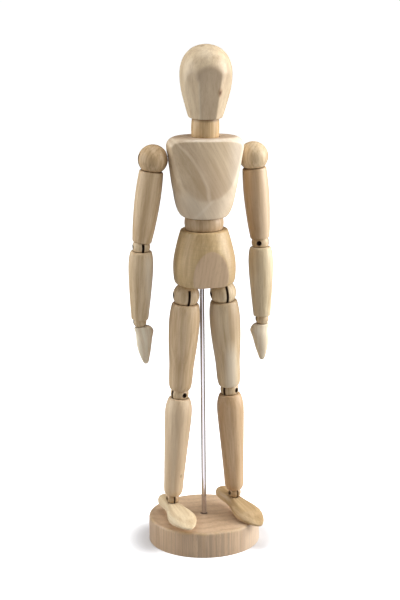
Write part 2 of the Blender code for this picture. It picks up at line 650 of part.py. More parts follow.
for name, side in SIDES.items():
    pose = ARM_POSE[name]
    out = chest_frame.to_3x3() @ Vector(
        (side * math.cos(CHEST_SIDE_SLOPE), 0.0, -math.sin(CHEST_SIDE_SLOPE))
    )
    upper = limb_direction(side, *pose["upper"])
    fore = limb_direction(side, *pose["fore"])
    palm = limb_direction(side, *pose["hand"])
    shoulder_at = chest_frame @ Vector((side * SHOULDER_X, SHOULDER_Y, SHOULDER_Z))
    elbow_at = shoulder_at + upper * UPPER_ARM_LENGTH
    wrist_at = elbow_at + fore * FOREARM_LENGTH
    back = Vector((0.0, 1.0, 0.0))

    shoulder_frame = joint_frame(shoulder_at, upper, back)
    body(name + "_shoulder", shoulder_frame, "chest")
    shoulder = jointed_ball(name + "_shoulder", SHOULDER_RADIUS, -out, 0.010, stop=-0.0062)
    flat = box("flat", (-0.02, -0.02, -0.02), (0.02, 0.02, -SHOULDER_FLAT))
    facing = out.to_track_quat("Z", "Y").to_matrix().to_4x4()
    cut(shoulder, flat, Matrix.Translation(shoulder_at) @ facing)
    body(name + "_upper_arm", shoulder_frame, name + "_shoulder")
    limb(
        name + "_upper_arm", upper_arm_outline, UPPER_ARM_LENGTH,
        (SHOULDER_RADIUS, UPPER_ARM_RIM), (ELBOW_RADIUS, ELBOW_RIM),
    )
    limb_spring(name + "_upper_arm", UPPER_ARM_LENGTH, SHOULDER_RADIUS, ELBOW_RADIUS)

    elbow_frame = joint_frame(elbow_at, fore, heading(pose["elbow_pin"]))
    body(name + "_elbow", elbow_frame, name + "_upper_arm")
    jointed_ball(name + "_elbow", ELBOW_RADIUS, -upper, 0.0080)
    body(name + "_forearm", elbow_frame, name + "_elbow")
    limb(
        name + "_forearm", forearm_outline, FOREARM_LENGTH,
        (ELBOW_RADIUS, ELBOW_RIM), (WRIST_RADIUS, WRIST_RIM),
    )
    limb_spring(name + "_forearm", FOREARM_LENGTH, ELBOW_RADIUS, WRIST_RADIUS)

    wrist_frame = joint_frame(wrist_at, palm, back)
    body(name + "_wrist", wrist_frame, name + "_forearm")
    jointed_ball(
        name + "_wrist", WRIST_RADIUS, -fore, 0.0050, WRIST_PIN_RADIUS, WRIST_SLOT, stop=-0.0029
    )
    body(name + "_hand", wrist_frame, name + "_wrist")
    hand_rings = []
    for height, inward, half_width, half_thick in reversed(hand_sections):
        hand_rings.append(oval(height, half_thick, half_width, half_width, 2.0, HAND_POINTS, side * inward))
    hand = place(loft(name + "_hand", hand_rings), name + "_hand", wrist_frame, wood)
    cut(hand, ball("wrist_cup", WRIST_RADIUS + GAP, CUP_SEGMENTS, CUP_RINGS), wrist_frame)
    tongue = box("tongue", (-TONGUE_HALF, -TONGUE_ROUND, -0.0060), (TONGUE_HALF, TONGUE_ROUND, 0.0))
    cut(hand, tongue, wrist_frame, "UNION")
    cut(hand, cylinder("tongue_end", TONGUE_ROUND, 2.0 * TONGUE_HALF, 12), wrist_frame @ ALONG_X, "UNION")
    cut(hand, cylinder("pin_way", WRIST_PIN_RADIUS + GAP, 0.002), wrist_frame @ ALONG_X)


# Legs

THIGH_RIM = 0.0050
KNEE_RIM = 0.0027
ANKLE_RIM = 0.0024
thigh_outline = [
    (0.0074, -THIGH_RIM), (0.0082, -0.0064), (0.0090, -0.0115), (0.0092, -0.0190), (0.0086, -0.0310),
    (0.0075, -0.0430), (0.0071, -0.0530), (0.0067, -0.0570), (0.0058, KNEE_RIM - THIGH_LENGTH),
]
shin_outline = [
    (0.0057, -KNEE_RIM), (0.0067, -0.0038), (0.0078, -0.0075), (0.0082, -0.0130), (0.0077, -0.0240),
    (0.0068, -0.0400), (0.0060, -0.0560), (0.0059, -0.0615), (0.0041, ANKLE_RIM - SHIN_LENGTH),
]
SOLE = -0.0076
SOLE_EDGE = 0.0010
SOLE_SHARE = 0.94
# Place along the foot (toe at -Y), half-width and top height of the foot's sections
foot_sections = [
    (0.0165, 0.0020, -0.0050), (0.0148, 0.0042, -0.0034), (0.0105, 0.0055, -0.0026),
    (0.0045, 0.0053, -0.0023), (-0.0005, 0.0050, -0.0022), (-0.0060, 0.0058, -0.0023),
    (-0.0115, 0.0075, -0.0025), (-0.0170, 0.0083, -0.0027), (-0.0215, 0.0077, -0.0034),
    (-0.0255, 0.0060, -0.0045), (-0.0285, 0.0041, -0.0056), (-0.0314, 0.0010, -0.0065),
]
FOOT_ARCH_POINTS = 9
FOOT_SQUARENESS = 2.4


def foot_section(along, half_width, top):
    """A flat sole with a thin upright edge under a domed upper."""
    edge = SOLE + SOLE_EDGE
    power = 2.0 / FOOT_SQUARENESS
    ring = [(half_width * SOLE_SHARE, along, SOLE)]
    for i in range(FOOT_ARCH_POINTS):
        angle = math.pi * i / (FOOT_ARCH_POINTS - 1)
        c = math.cos(angle)
        across = half_width * math.copysign(abs(c) ** power, c)
        ring.append((across, along, edge + (top - edge) * abs(math.sin(angle)) ** power))
    ring.append((-half_width * SOLE_SHARE, along, SOLE))
    return ring


HOOK_END = -0.0056
HOOK_HOLE = 0.0040

for name, side in SIDES.items():
    pose = LEG_POSE[name]
    down = limb_direction(side, *pose["thigh"])
    shank = limb_direction(side, *pose["shin"])
    hip_at = Vector((side * HIP_X, BODY_Y, HIP_Z))
    knee_at = hip_at + down * THIGH_LENGTH
    ankle_at = knee_at + shank * SHIN_LENGTH

    hip_frame = joint_frame(hip_at, down, heading(pose["hip_pin"]))
    body(name + "_hip", hip_frame, "pelvis")
    jointed_ball(name + "_hip", HIP_RADIUS, (0.0, 0.0, 1.0), 0.0120)
    body(name + "_thigh", hip_frame, name + "_hip")
    limb(
        name + "_thigh", thigh_outline, THIGH_LENGTH,
        (HIP_RADIUS, THIGH_RIM), (KNEE_RADIUS, KNEE_RIM),
    )
    limb_spring(name + "_thigh", THIGH_LENGTH, HIP_RADIUS, KNEE_RADIUS)

    knee_frame = joint_frame(knee_at, shank, heading(pose["knee_pin"]))
    body(name + "_knee", knee_frame, name + "_thigh")
    jointed_ball(name + "_knee", KNEE_RADIUS, -down, 0.0084)
    body(name + "_shin", knee_frame, name + "_knee")
    limb(
        name + "_shin", shin_outline, SHIN_LENGTH,
        (KNEE_RADIUS, KNEE_RIM), (ANKLE_RADIUS, ANKLE_RIM),
    )
    limb_spring(name + "_shin", SHIN_LENGTH, KNEE_RADIUS, ANKLE_RADIUS)

    toe_turn, toe_drop = pose["foot"]
    toe = heading(toe_turn)
    foot_down = -(Vector((0.0, 0.0, 1.0)) + toe * math.tan(math.radians(toe_drop)))
    ankle_frame = joint_frame(ankle_at, foot_down, heading(toe_turn + 90.0))
    body(name + "_ankle", ankle_frame, name + "_shin")
    jointed_ball(name + "_ankle", ANKLE_RADIUS, -shank, 0.0056)
    body(name + "_foot", ankle_frame, name + "_ankle")
    foot = place(
        loft(name + "_foot", [foot_section(*section) for section in foot_sections]),
        name + "_foot", ankle_frame, wood,
    )
    cut(foot, ball("ankle_cup", ANKLE_RADIUS + GAP, CUP_SEGMENTS, CUP_RINGS), ankle_frame)
    hook_hole = cylinder("hook_hole", TAIL_HOLE, HOOK_HOLE, TAIL_SEGMENTS)
    cut(foot, hook_hole, ankle_frame @ shift(0.0, 0.0, HOOK_END - GAP + HOOK_HOLE / 2.0))
    hook = wire(name + "_foot_hook", eye() + tail(HOOK_END, -1.0), button=2)
    place(hook, name + "_foot", ankle_frame, steel)
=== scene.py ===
import json
import math

import bmesh
import bpy
import numpy as np
from mathutils import Matrix, Vector

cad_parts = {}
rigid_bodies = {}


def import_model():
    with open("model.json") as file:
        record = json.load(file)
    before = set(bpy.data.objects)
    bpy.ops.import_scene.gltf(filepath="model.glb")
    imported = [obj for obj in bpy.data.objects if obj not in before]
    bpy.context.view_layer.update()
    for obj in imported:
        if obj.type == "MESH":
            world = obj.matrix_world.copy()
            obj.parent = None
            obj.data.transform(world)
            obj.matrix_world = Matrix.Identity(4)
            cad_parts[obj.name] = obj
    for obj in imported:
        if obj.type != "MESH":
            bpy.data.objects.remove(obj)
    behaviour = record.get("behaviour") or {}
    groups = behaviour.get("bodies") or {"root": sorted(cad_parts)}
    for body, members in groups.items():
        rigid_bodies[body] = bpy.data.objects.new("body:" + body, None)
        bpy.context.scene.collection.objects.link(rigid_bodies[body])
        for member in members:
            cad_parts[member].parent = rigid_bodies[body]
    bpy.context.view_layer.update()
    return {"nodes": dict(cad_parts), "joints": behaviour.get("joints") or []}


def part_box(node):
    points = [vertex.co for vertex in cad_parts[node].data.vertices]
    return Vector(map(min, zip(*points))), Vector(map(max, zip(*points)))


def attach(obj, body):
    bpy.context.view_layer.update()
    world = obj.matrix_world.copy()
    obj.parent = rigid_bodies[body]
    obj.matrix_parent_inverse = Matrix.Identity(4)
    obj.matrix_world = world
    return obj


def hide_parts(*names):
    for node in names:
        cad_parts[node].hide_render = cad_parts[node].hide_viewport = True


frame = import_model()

joints = {joint["name"]: joint for joint in frame["joints"]}


# Base
# A disc turned with the grain upright: the rings show as arcs on top and fine fibres on the side. Its top
# edge is rounded over, its underside eased, and the rod is glued into a blind hole at its centre.

def skin(name, grid, ring=False):
    """A mesh over a grid of points, rows by columns. Each row closes on itself; with ring, the last row
    joins the first. Rows that shrink to a point are merged into one."""
    rows, columns = grid.shape[:2]
    index = np.arange(rows * columns).reshape(rows, columns)
    beside = np.roll(index, -1, axis=1)
    above = np.roll(index, -1, axis=0)
    corner = np.roll(beside, -1, axis=0)
    last = rows if ring else rows - 1
    faces = np.stack([index, beside, corner, above], axis=-1)[:last].reshape(-1, 4)
    mesh = bpy.data.meshes.new(name)
    mesh.from_pydata(grid.reshape(-1, 3).tolist(), [], faces.tolist())
    shell = bmesh.new()
    shell.from_mesh(mesh)
    bmesh.ops.remove_doubles(shell, verts=shell.verts, dist=1e-7)
    bmesh.ops.recalc_face_normals(shell, faces=shell.faces)
    shell.to_mesh(mesh)
    shell.free()
    soften(mesh)
    piece = bpy.data.objects.new(name, mesh)
    bpy.context.scene.collection.objects.link(piece)
    return piece


def soften(mesh, crease=38.0):
    """Smooth shading that keeps edges sharper than the crease angle."""
    mesh.shade_smooth()
    mesh.set_sharp_from_angle(angle=math.radians(crease))


def stood(points, place):
    """Points carried from a piece's own frame to where it stands."""
    matrix = np.array(place)
    return points @ matrix[:3, :3].T + matrix[:3, 3]


def turned(profile, place, sides=96):
    """A lathe grid: each profile point (radius, height) goes round the axis in equal steps."""
    profile = np.asarray(profile)
    angle = np.linspace(0.0, 2.0 * np.pi, sides, endpoint=False)
    radius, height = profile[:, :1], profile[:, 1:]
    grid = np.stack([radius * np.cos(angle), radius * np.sin(angle), height + 0.0 * angle], axis=-1)
    return stood(grid, place)


def arc(centre, radius, start, end, steps=8):
    """Profile points along an arc about a centre (radius, height); angles in degrees from straight up."""
    angle = np.radians(np.linspace(start, end, steps + 1))
    return np.stack([centre[0] + radius * np.sin(angle), centre[1] + radius * np.cos(angle)], axis=-1)


def through(points, steps=6):
    """A smooth curve through points: Catmull-Rom, cubics whose end slopes follow the neighbouring points."""
    points = np.asarray(points, dtype=float)
    ends = np.concatenate([2 * points[:1] - points[1:2], points, 2 * points[-1:] - points[-2:-1]])
    before, start, end, after = ends[:-3], ends[1:-2], ends[2:-1], ends[3:]
    t = np.linspace(0.0, 1.0, steps, endpoint=False)[None, :, None]
    before, start, end, after = (p[:, None, :] for p in (before, start, end, after))
    curve = 0.5 * (
        2 * start + (end - before) * t + (2 * before - 5 * start + 4 * end - after) * t ** 2
        + (3 * start - before - 3 * end + after) * t ** 3
    )
    return np.concatenate([curve.reshape(-1, points.shape[1]), points[-1:]])


class Signal:
    """A shader value: a node's output socket that takes Python's operators, each adding a Math node."""

    def __init__(self, socket):
        self.socket = socket

    def node(self, kind, settings, sockets, output=0):
        """Adds any node: its settings first, then its sockets' values or links. Gives one of its outputs."""
        tree = self.socket.id_data
        made = tree.nodes.new(kind)
        for name, value in settings.items():
            setattr(made, name, value)
        for name, value in sockets.items():
            socket = made.inputs[name]
            if isinstance(value, Signal):
                tree.links.new(value.socket, socket)
            else:
                socket.default_value = (*value, 1.0) if socket.type == "RGBA" else value
        return Signal(made.outputs[output])

    def into(self, shader, name):
        """Links this to one of a shader's sockets."""
        self.socket.id_data.links.new(self.socket, shader.inputs[name])

    def maths(self, operation, *values):
        return self.node("ShaderNodeMath", {"operation": operation}, dict(enumerate(values)))

    def __add__(self, other):
        return self.maths("ADD", self, other)

    __radd__ = __add__

    def __sub__(self, other):
        return self.maths("SUBTRACT", self, other)

    def __rsub__(self, other):
        return self.maths("SUBTRACT", other, self)

    def __mul__(self, other):
        return self.maths("MULTIPLY", self, other)

    __rmul__ = __mul__

    def __truediv__(self, other):
        return self.maths("DIVIDE", self, other)

    def __abs__(self):
        return self.maths("ABSOLUTE", self)

    def most(self, other):
        """The greater of this value and another."""
        return self.maths("MAXIMUM", self, other)

    def wave(self):
        """0 to 1 and back, once for each whole step of the value."""
        return 0.5 + 0.5 * self.maths("SINE", self * (2.0 * math.pi))

    def between(self, low, high):
        """0 at low and before it, 1 at high and after it, and smooth from one to the other."""
        return self.node(
            "ShaderNodeMapRange", {"interpolation_type": "SMOOTHSTEP"},
            {0: self, 1: low, 2: high, 3: 0.0, 4: 1.0},
        )

    def vector(self, operation, other, output=0):
        return self.node("ShaderNodeVectorMath", {"operation": operation}, {0: self, 1: other}, output)

    def stretched(self, x, y, z):
        """A position scaled along each axis."""
        return self.vector("MULTIPLY", (x, y, z))

    def along(self, x, y, z):
        """How far this position lies in a direction."""
        return self.vector("DOT_PRODUCT", (x, y, z), "Value")

    def away(self, spot=(0.0, 0.0, 0.0)):
        """The distance of this position from a spot."""
        return self.vector("DISTANCE", spot, "Value")

    def speckle(self, scale, detail=2.0):
        """Noise at this position, about 0.5 on average."""
        return self.node("ShaderNodeTexNoise", {}, {"Vector": self, "Scale": scale, "Detail": detail})

    def within(self, place):
        """This position as the frame at place measures it."""
        own = place.inverted()
        return self.node(
            "ShaderNodeMapping", {}, {"Vector": self, "Location": own.translation, "Rotation": own.to_euler()}
        )

    def tint(self, first, second):
        """first where this is 0, second where it is 1; each a colour or a signal."""
        return self.node(
            "ShaderNodeMix", {"data_type": "RGBA", "clamp_factor": True}, {0: self, 6: first, 7: second}, 2
        )


def blank(name, settings):
    """A new material with these shader settings, its shader, and the position on the piece."""
    material = bpy.data.materials.new(name)
    material.use_nodes = True
    nodes = material.node_tree.nodes
    shader = nodes["Principled BSDF"]
    for socket, value in settings.items():
        shader.inputs[socket].default_value = value
    return material, shader, Signal(nodes.new("ShaderNodeTexCoord").outputs["Object"])


def wood(
    name, grain, pale, dark, pith=(0.020, 0.012), gap=0.0040, rings=0.4, fibre=0.5, pores=0.2, mark=None
):
    """Sanded hardwood, its grain along grain's Z axis.

    Growth rings are the distance from a pith line beside the piece, one ring every gap, bent by slow noise.
    Strands and bands are finer and coarser noise drawn out along the grain, and pores are short dark ticks.
    The tone drifts slowly. mark takes the position and the colour and gives a changed colour.
    """
    material, shader, place = blank(name, {"Specular IOR Level": 0.35})
    at = place.within(grain)
    drift = at.stretched(1, 1, 0.35).speckle(42.0, 3.0)
    bent = at.stretched(1, 1, 0.05).away((pith[0], pith[1], 0.0)) / gap + drift * 2.4
    late = bent.wave().between(0.35, 1.0)
    strand = at.stretched(1, 1, 0.035).speckle(1500.0, 4.0)
    band = at.stretched(1, 1, 0.05).speckle(420.0, 2.0)
    pore = at.stretched(1, 1, 0.14).speckle(2600.0, 1.0).between(0.60, 0.72)
    streaks = (strand - 0.5) * (2.2 * fibre) + (band - 0.5) * (2.8 * fibre)
    shade = 0.40 + late * (0.7 * rings) + (drift - 0.5) * 0.9 + streaks
    speck = tuple(0.55 * channel for channel in dark)
    colour = (pore * (0.08 + 0.6 * pores)).tint(shade.tint(pale, dark), speck)
    if mark:
        colour = mark(place, colour)
    relief = strand * 0.6 + late * 0.25 - pore * (0.3 + pores)
    normal = relief.node("ShaderNodeBump", {}, {"Height": relief, "Strength": 0.10, "Distance": 0.0002})
    colour.into(shader, "Base Color")
    (0.40 + (strand - 0.5) * 0.25 + pore * 0.1).into(shader, "Roughness")
    normal.into(shader, "Normal")
    return material


def fit(piece, material, body, slot, *nodes):
    """Gives a piece its finish, its body and the nodes it stands for."""
    piece.data.materials.clear()
    piece.data.materials.append(material)
    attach(piece, body)
    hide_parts(*nodes)


BASE_RADIUS = 0.0339
BASE_HEIGHT = 0.0159
BASE_EDGE = 0.0016
UNDER_EDGE = 0.0006
ROD_HOLE = 0.00160
ROD_SEAT = 0.0040
HOLE_EASE = 0.0003
upright = Matrix.Identity(4)
base_profile = np.concatenate([
    [(0.0, ROD_SEAT), (ROD_HOLE, ROD_SEAT)],
    [(ROD_HOLE, BASE_HEIGHT - HOLE_EASE), (ROD_HOLE + HOLE_EASE, BASE_HEIGHT)],
    arc((BASE_RADIUS - BASE_EDGE, BASE_HEIGHT - BASE_EDGE), BASE_EDGE, 0.0, 90.0),
    arc((BASE_RADIUS - UNDER_EDGE, UNDER_EDGE), UNDER_EDGE, 90.0, 180.0, 4),
    [(0.0, 0.0)],
])
base = skin("base_disc", turned(base_profile, upright, 160))


def fibres_and_painted_light(place, colour):
    """Fine dark upright fibres, most on the side, and ochre patches round the top edge. Painted light makes
    the disc paler to the figure's left, and painted shade darkens it to the right and round the rod's foot."""
    drawn = place.stretched(1, 1, 0.03)
    fibre = drawn.speckle(1100.0, 3.0) * 0.5 + drawn.speckle(520.0, 2.0) * 0.5
    height = place.along(0, 0, 1)
    side = height.between(BASE_HEIGHT - 0.0002, BASE_HEIGHT - 0.0010)
    colour = (fibre.between(0.42, 0.62) * (0.14 + side * 0.34)).tint(colour, (0.37, 0.26, 0.19))
    across = place.along(1, 0, 0)
    # Painted light: paler towards the figure's left, on the strongest lamp's side, and painted shade to the
    # right
    colour = (across.between(0.006, 0.030) * 0.55).tint(colour, (0.95, 0.77, 0.59))
    colour = (across.between(-0.010, -0.030) * 0.25).tint(colour, (0.47, 0.32, 0.20))
    radius = place.stretched(1, 1, 0).away()
    edge = radius.between(BASE_RADIUS - 0.0022, BASE_RADIUS - 0.0010)
    edge = edge * height.between(BASE_HEIGHT - 0.0020, BASE_HEIGHT - 0.0008)
    colour = (edge * place.speckle(120.0).between(0.35, 0.65) * 0.45).tint(colour, (0.58, 0.40, 0.19))
    # Painted shade: a dark ring round the rod where it goes in
    return (radius.between(0.0029, 0.0017) * 0.7).tint(colour, (0.16, 0.10, 0.07))


base_wood = wood(
    "base_wood", upright, (0.76, 0.555, 0.365), (0.56, 0.38, 0.235),
    pith=(0.012, 0.085), gap=0.0068, rings=0.55, fibre=0.35, pores=0.35, mark=fibres_and_painted_light,
)
fit(base, base_wood, "stand", "base_wood", "base")


# Support rod
# Drawn steel wire about three millimetres thick, polished bright, its ends eased. It stands in the base and
# runs up into the back of the pelvis, so the figure turns on it.

def steel(name, colour, gloss):
    """Drawn steel: a metal whose tone and gloss vary in fine upright streaks and slow smudges."""
    material, shader, place = blank(name, {"Metallic": 1.0})
    streak = place.stretched(1, 1, 0.02).speckle(2600.0)
    smudge = place.speckle(90.0, 3.0)
    dull = tuple(0.7 * channel for channel in colour)
    (0.2 + streak * 0.3 + smudge * 0.3).tint(colour, dull).into(shader, "Base Color")
    (gloss + streak * 0.08 + smudge * 0.08).into(shader, "Roughness")
    return material


rod_low, rod_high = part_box("support_rod")
ROD_RADIUS = (rod_high.x - rod_low.x) / 2.0
ROD_EASE = 0.0003
rod_profile = np.concatenate([
    [(0.0, rod_high.z)],
    arc((ROD_RADIUS - ROD_EASE, rod_high.z - ROD_EASE), ROD_EASE, 0.0, 90.0, 4),
    arc((ROD_RADIUS - ROD_EASE, rod_low.z + ROD_EASE), ROD_EASE, 90.0, 180.0, 4),
    [(0.0, rod_low.z)],
])
rod = skin("polished_rod", turned(rod_profile, upright, 48))
fit(rod, steel("rod_steel", (0.66, 0.63, 0.655), 0.05), "stand", "steel", "support_rod")


# Pelvis
# A turned barrel, cupped on top for the waist ball and sanded flat across the front. Its underside has two
# shallow hip sockets, the rod's hole and a saw groove that holds the hip spring.

def carve(piece, *tools, operation="DIFFERENCE"):
    """Cuts tools out of a piece for good, or joins them by UNION, with exact Booleans, and removes them."""
    for tool in tools:
        cut = piece.modifiers.new("cut", "BOOLEAN")
        cut.operation = operation
        cut.solver = "EXACT"
        cut.object = tool
    whole = piece.evaluated_get(bpy.context.evaluated_depsgraph_get())
    mesh = bpy.data.meshes.new_from_object(whole)
    piece.modifiers.clear()
    piece.data = mesh
    soften(mesh)
    for tool in tools:
        bpy.data.objects.remove(tool)


def drill(place, radius, start, end, sides=40):
    """A round bar between two spots of a place's own axes, to cut a hole with."""
    start, end = place @ Vector(start), place @ Vector(end)
    along = end - start
    stand = Matrix.Translation(start) @ along.to_track_quat("Z", "Y").to_matrix().to_4x4()
    bar = [(0.0, along.length), (radius, along.length), (radius, 0.0), (0.0, 0.0)]
    return skin("drill", turned(bar, stand, sides))


def globe(name, centre, radius, sides=96):
    """A ball: rings of latitude from pole to pole."""
    profile = arc((0.0, 0.0), radius, 0.0, 180.0, sides // 2)
    return skin(name, turned(profile, Matrix.Translation(centre), sides))


def saw(place, low, high):
    """A rectangular bar between two corners of a place's own axes, to cut a slot with."""
    low, high = Vector(low), Vector(high)
    corners = np.array(((low.x, low.y), (high.x, low.y), (high.x, high.y), (low.x, high.y)))
    hub = corners.mean(axis=0) + 0.0 * corners
    rows = ((hub, low.z), (corners, low.z), (corners, high.z), (hub, high.z))
    grid = np.stack([np.concatenate([flat, np.full((4, 1), z)], axis=1) for flat, z in rows])
    return skin("saw", stood(grid, place))


def joint_spot(name):
    return Vector(joints[name]["pos_m"])


def joint_axis(name):
    return Vector(joints[name]["axis"])


SIDES = {"left": 1.0, "right": -1.0}
GAP = 0.0003
BORE = 0.0026
PELVIS_BOTTOM = 0.1640
PELVIS_TOP = 0.1966
PELVIS_EDGE = 0.0023
CUP_FLOOR = 0.1755
WAIST_RADIUS = 0.0116
waist_at = joint_spot("waist_turn")
waist_cup = WAIST_RADIUS + GAP
cup_edge = math.degrees(math.acos((PELVIS_TOP - waist_at.z) / waist_cup))
pelvis_side = through([
    (0.0142, 0.1957), (0.0156, 0.1910), (0.0171, 0.1850), (0.0182, 0.1795), (0.0186, 0.1745),
    (0.0185, 0.1700), (0.0182, 0.1668),
], 8)
pelvis_profile = np.concatenate([
    [(0.0, CUP_FLOOR), (BORE, CUP_FLOOR)],
    arc((0.0, waist_at.z), waist_cup, 167.0, cup_edge, 20),
    [(0.0133, PELVIS_TOP), (0.0139, 0.1963)],
    pelvis_side,
    arc((0.0157, 0.1663), PELVIS_EDGE, 88.0, 180.0, 8),
    [(0.0, PELVIS_BOTTOM)],
])
pelvis_axis = Vector((waist_at.x, waist_at.y, 0.0))
pelvis_place = Matrix.Translation(pelvis_axis)
barrel = turned(pelvis_profile, upright, 160)


def lesser(first, second, blend):
    """The lesser of two, rounded over within blend: their mean less half the root of their gap squared plus
    blend squared."""
    return 0.5 * (first + second - np.sqrt((first - second) ** 2 + blend ** 2))


def sanded(grid, base, slope, turn, bow, blend):
    """Presses a grid behind a sanded face that looks turn degrees from the front. The face stands base off
    the axis at height 0, moves out by slope times the height, falls away to each side by bow times the square
    of the distance across, and has its edges rounded within blend."""
    angle = math.radians(turn)
    facing = np.array((math.sin(angle), -math.cos(angle), 0.0))
    across = grid @ np.array((math.cos(angle), math.sin(angle), 0.0))
    depth = grid @ facing
    held = lesser(depth, base + slope * grid[..., 2] - bow * across ** 2, blend)
    return grid + (np.minimum(held, depth) - depth)[..., None] * facing


FRONT_BOTTOM = 0.0148
FRONT_SLOPE = 0.0917
FRONT_BOW = 3.0
FRONT_BLEND = 0.0004
pelvis_face = (FRONT_BOTTOM - PELVIS_BOTTOM * FRONT_SLOPE, FRONT_SLOPE, 0.0, FRONT_BOW, FRONT_BLEND)
outer = np.linalg.norm(barrel[..., :2], axis=-1) > waist_cup
pressed = sanded(barrel, *pelvis_face)
barrel = np.where(outer[..., None], pressed, barrel)
pelvis = skin("pelvis_block", stood(barrel, pelvis_place))
hips = {side: joint_spot(side + "_hip_turn") for side in SIDES}
HIP_RADIUS = 0.0079
GROOVE_HALF = 0.0026
GROOVE_TOP = 0.1725
GROOVE_PAST = 0.0022
ROD_PLAY = 0.0002
ROD_STOP = 0.1738
groove_end = hips["left"].x + GROOVE_PAST
carve(
    pelvis,
    globe("socket", hips["left"], HIP_RADIUS + GAP, 64),
    globe("socket", hips["right"], HIP_RADIUS + GAP, 64),
    saw(
        Matrix.Translation((0.0, pelvis_axis.y, 0.0)),
        (-groove_end, -GROOVE_HALF, 0.1600), (groove_end, GROOVE_HALF, GROOVE_TOP),
    ),
    drill(upright, ROD_RADIUS + ROD_PLAY, (0, 0, 0.150), (0, 0, ROD_STOP)),
)


def on_flat(at, base, slope, turn, bow, blend, fade=0.8, full=0.3):
    """1 on a face as sanded() presses it and 0 off it, by how near a position lies to the face: it starts to
    rise fade blends behind the face and is 1 from full blends behind it."""
    angle = math.radians(turn)
    depth = at.along(math.sin(angle), -math.cos(angle), 0.0)
    across = at.along(math.cos(angle), math.sin(angle), 0.0)
    reach = base + at.along(0, 0, 1) * slope - across * across * bow
    return (depth - reach).between(-fade * blend, -full * blend)


def pelvis_figure_and_shade(place, colour):
    """Turning lines round the barrel, and painted shade on its left side. The flat is pinker, with growth
    rings cut into upright lines.
    """
    at = place.within(pelvis_place)
    flat = on_flat(at, *pelvis_face)
    lines = at.stretched(0.06, 0.06, 1.0).speckle(1500.0, 2.0).between(0.45, 0.70)
    colour = (lines * (1.0 - flat) * 0.30).tint(colour, (0.43, 0.30, 0.16))
    colour = (flat * 0.52).tint(colour, (0.63, 0.445, 0.325))
    # Painted shade: the barrel off the flat darkens towards the figure's left
    shaded_side = at.along(1, 0, 0).between(0.0050, 0.0150) * (1.0 - flat)
    colour = (shaded_side * 0.55).tint(colour, (0.44, 0.30, 0.16))
    line = at.along(1.0, 0.0, -0.14) + (at.stretched(1, 1, 0.3).speckle(200.0) - 0.5) * 0.0040
    rings = (line / 0.0024).wave().between(0.55, 1.0) * at.speckle(260.0).between(0.30, 0.60)
    return (rings * flat * 0.24).tint(colour, (0.40, 0.26, 0.16))


def beech(piece, name, *finish, **figure):
    """Gives a piece its own wood, and the body and the node of its name."""
    fit(piece, wood(name + "_wood", *finish, **figure), name, "beech", name)


pelvis_grain = pelvis_place @ Matrix.Rotation(math.radians(6.0), 4, "Y")
beech(
    pelvis, "pelvis", pelvis_grain, (0.70, 0.52, 0.28), (0.47, 0.31, 0.145), pith=(0.014, -0.030),
    gap=0.0058, rings=0.25, mark=pelvis_figure_and_shade,
)


# Waist
# A plain ball between pelvis and chest. It turns on the pelvis spring, and a pin hidden under the chest
# carries the spine spring's eye in its slot.

def placed(origin, up, across):
    """A frame at origin: Z along up, X as near across as it can be."""
    z = Vector(up).normalized()
    x = Vector(across)
    x = (x - z * x.dot(z)).normalized()
    return Matrix.Translation(origin) @ Matrix((x, z.cross(x), z)).transposed().to_4x4()


SLOT = 0.00065
SLOT_FLOOR = -0.0026
WAIST_SLOT = 0.0066
PIN_HOLE = 0.0014
TAIL_HOLE = 0.00115
waist_place = Matrix.Translation(waist_at)
waist = globe("waist_ball", waist_at, WAIST_RADIUS, 128)
carve(
    waist,
    saw(waist_place, (-SLOT, -WAIST_SLOT, SLOT_FLOOR), (SLOT, WAIST_SLOT, 0.0130)),
    drill(waist_place, PIN_HOLE, (-0.005, 0, 0), (0.013, 0, 0)),
    drill(waist_place, TAIL_HOLE, (0, 0, -0.0135), (0, 0, -0.0035)),
)
# The chest's rim above the waist's centre, and the half-width, share and colour of a rim's painted shade line
CHEST_LOW = 0.0039
RIM_SHADE_HALF = 0.0008
RIM_SHADE_SHARE = 0.60
RIM_SHADE_COLOUR = (0.15, 0.085, 0.045)


def rim_shade(at, colour, height):
    """A thin line of painted shade round a ball at a height, where the rim of a cup meets it."""
    off = abs(at.along(0, 0, 1) - height)
    return (off.between(RIM_SHADE_HALF, 0.3 * RIM_SHADE_HALF) * RIM_SHADE_SHARE).tint(colour, RIM_SHADE_COLOUR)


def waist_rim_shade(place, colour):
    """Painted shade lines under the pelvis's rim below and the chest's rim above."""
    at = place.within(waist_place)
    return rim_shade(at, rim_shade(at, colour, PELVIS_TOP - waist_at.z), CHEST_LOW)


beech(
    waist, "waist", waist_place, (0.66, 0.49, 0.305), (0.46, 0.31, 0.175), gap=0.0026, fibre=0.6,
    mark=waist_rim_shade,
)


# Chest
# A block shaped on the sander: flat across the front, sides drawn in to the waist, every edge rounded. It is
# cupped below for the waist ball and bored up the middle and across for the spine and shoulder springs.

neck_at = joint_spot("neck_turn")
chest_up = (neck_at - waist_at).normalized()
chest_place = placed(waist_at, chest_up, (1, 0, 0))
# Height above the waist, half-width, reach to the front before sanding and to the back, squareness
chest_sections = through([
    (CHEST_LOW, 0.0126, 0.0120, 0.0122, 2.2), (0.0043, 0.0136, 0.0124, 0.0125, 2.2),
    (0.0058, 0.0149, 0.0127, 0.0126, 2.2), (0.0090, 0.0165, 0.0129, 0.0124, 2.2),
    (0.0140, 0.0179, 0.0133, 0.0123, 2.2), (0.0190, 0.0188, 0.0139, 0.0126, 2.2),
    (0.0240, 0.0198, 0.0147, 0.0129, 2.2), (0.0379, 0.0220, 0.0163, 0.0134, 2.1),
    (0.0445, 0.0231, 0.0160, 0.0132, 2.1), (0.0472, 0.0230, 0.0143, 0.0130, 2.1),
    (0.0492, 0.0219, 0.0118, 0.0127, 2.1), (0.0503, 0.0203, 0.0104, 0.0123, 2.1),
    (0.0509, 0.0186, 0.0096, 0.0117, 2.1), (0.0510, 0.0170, 0.0090, 0.0109, 2.1),
], 6)


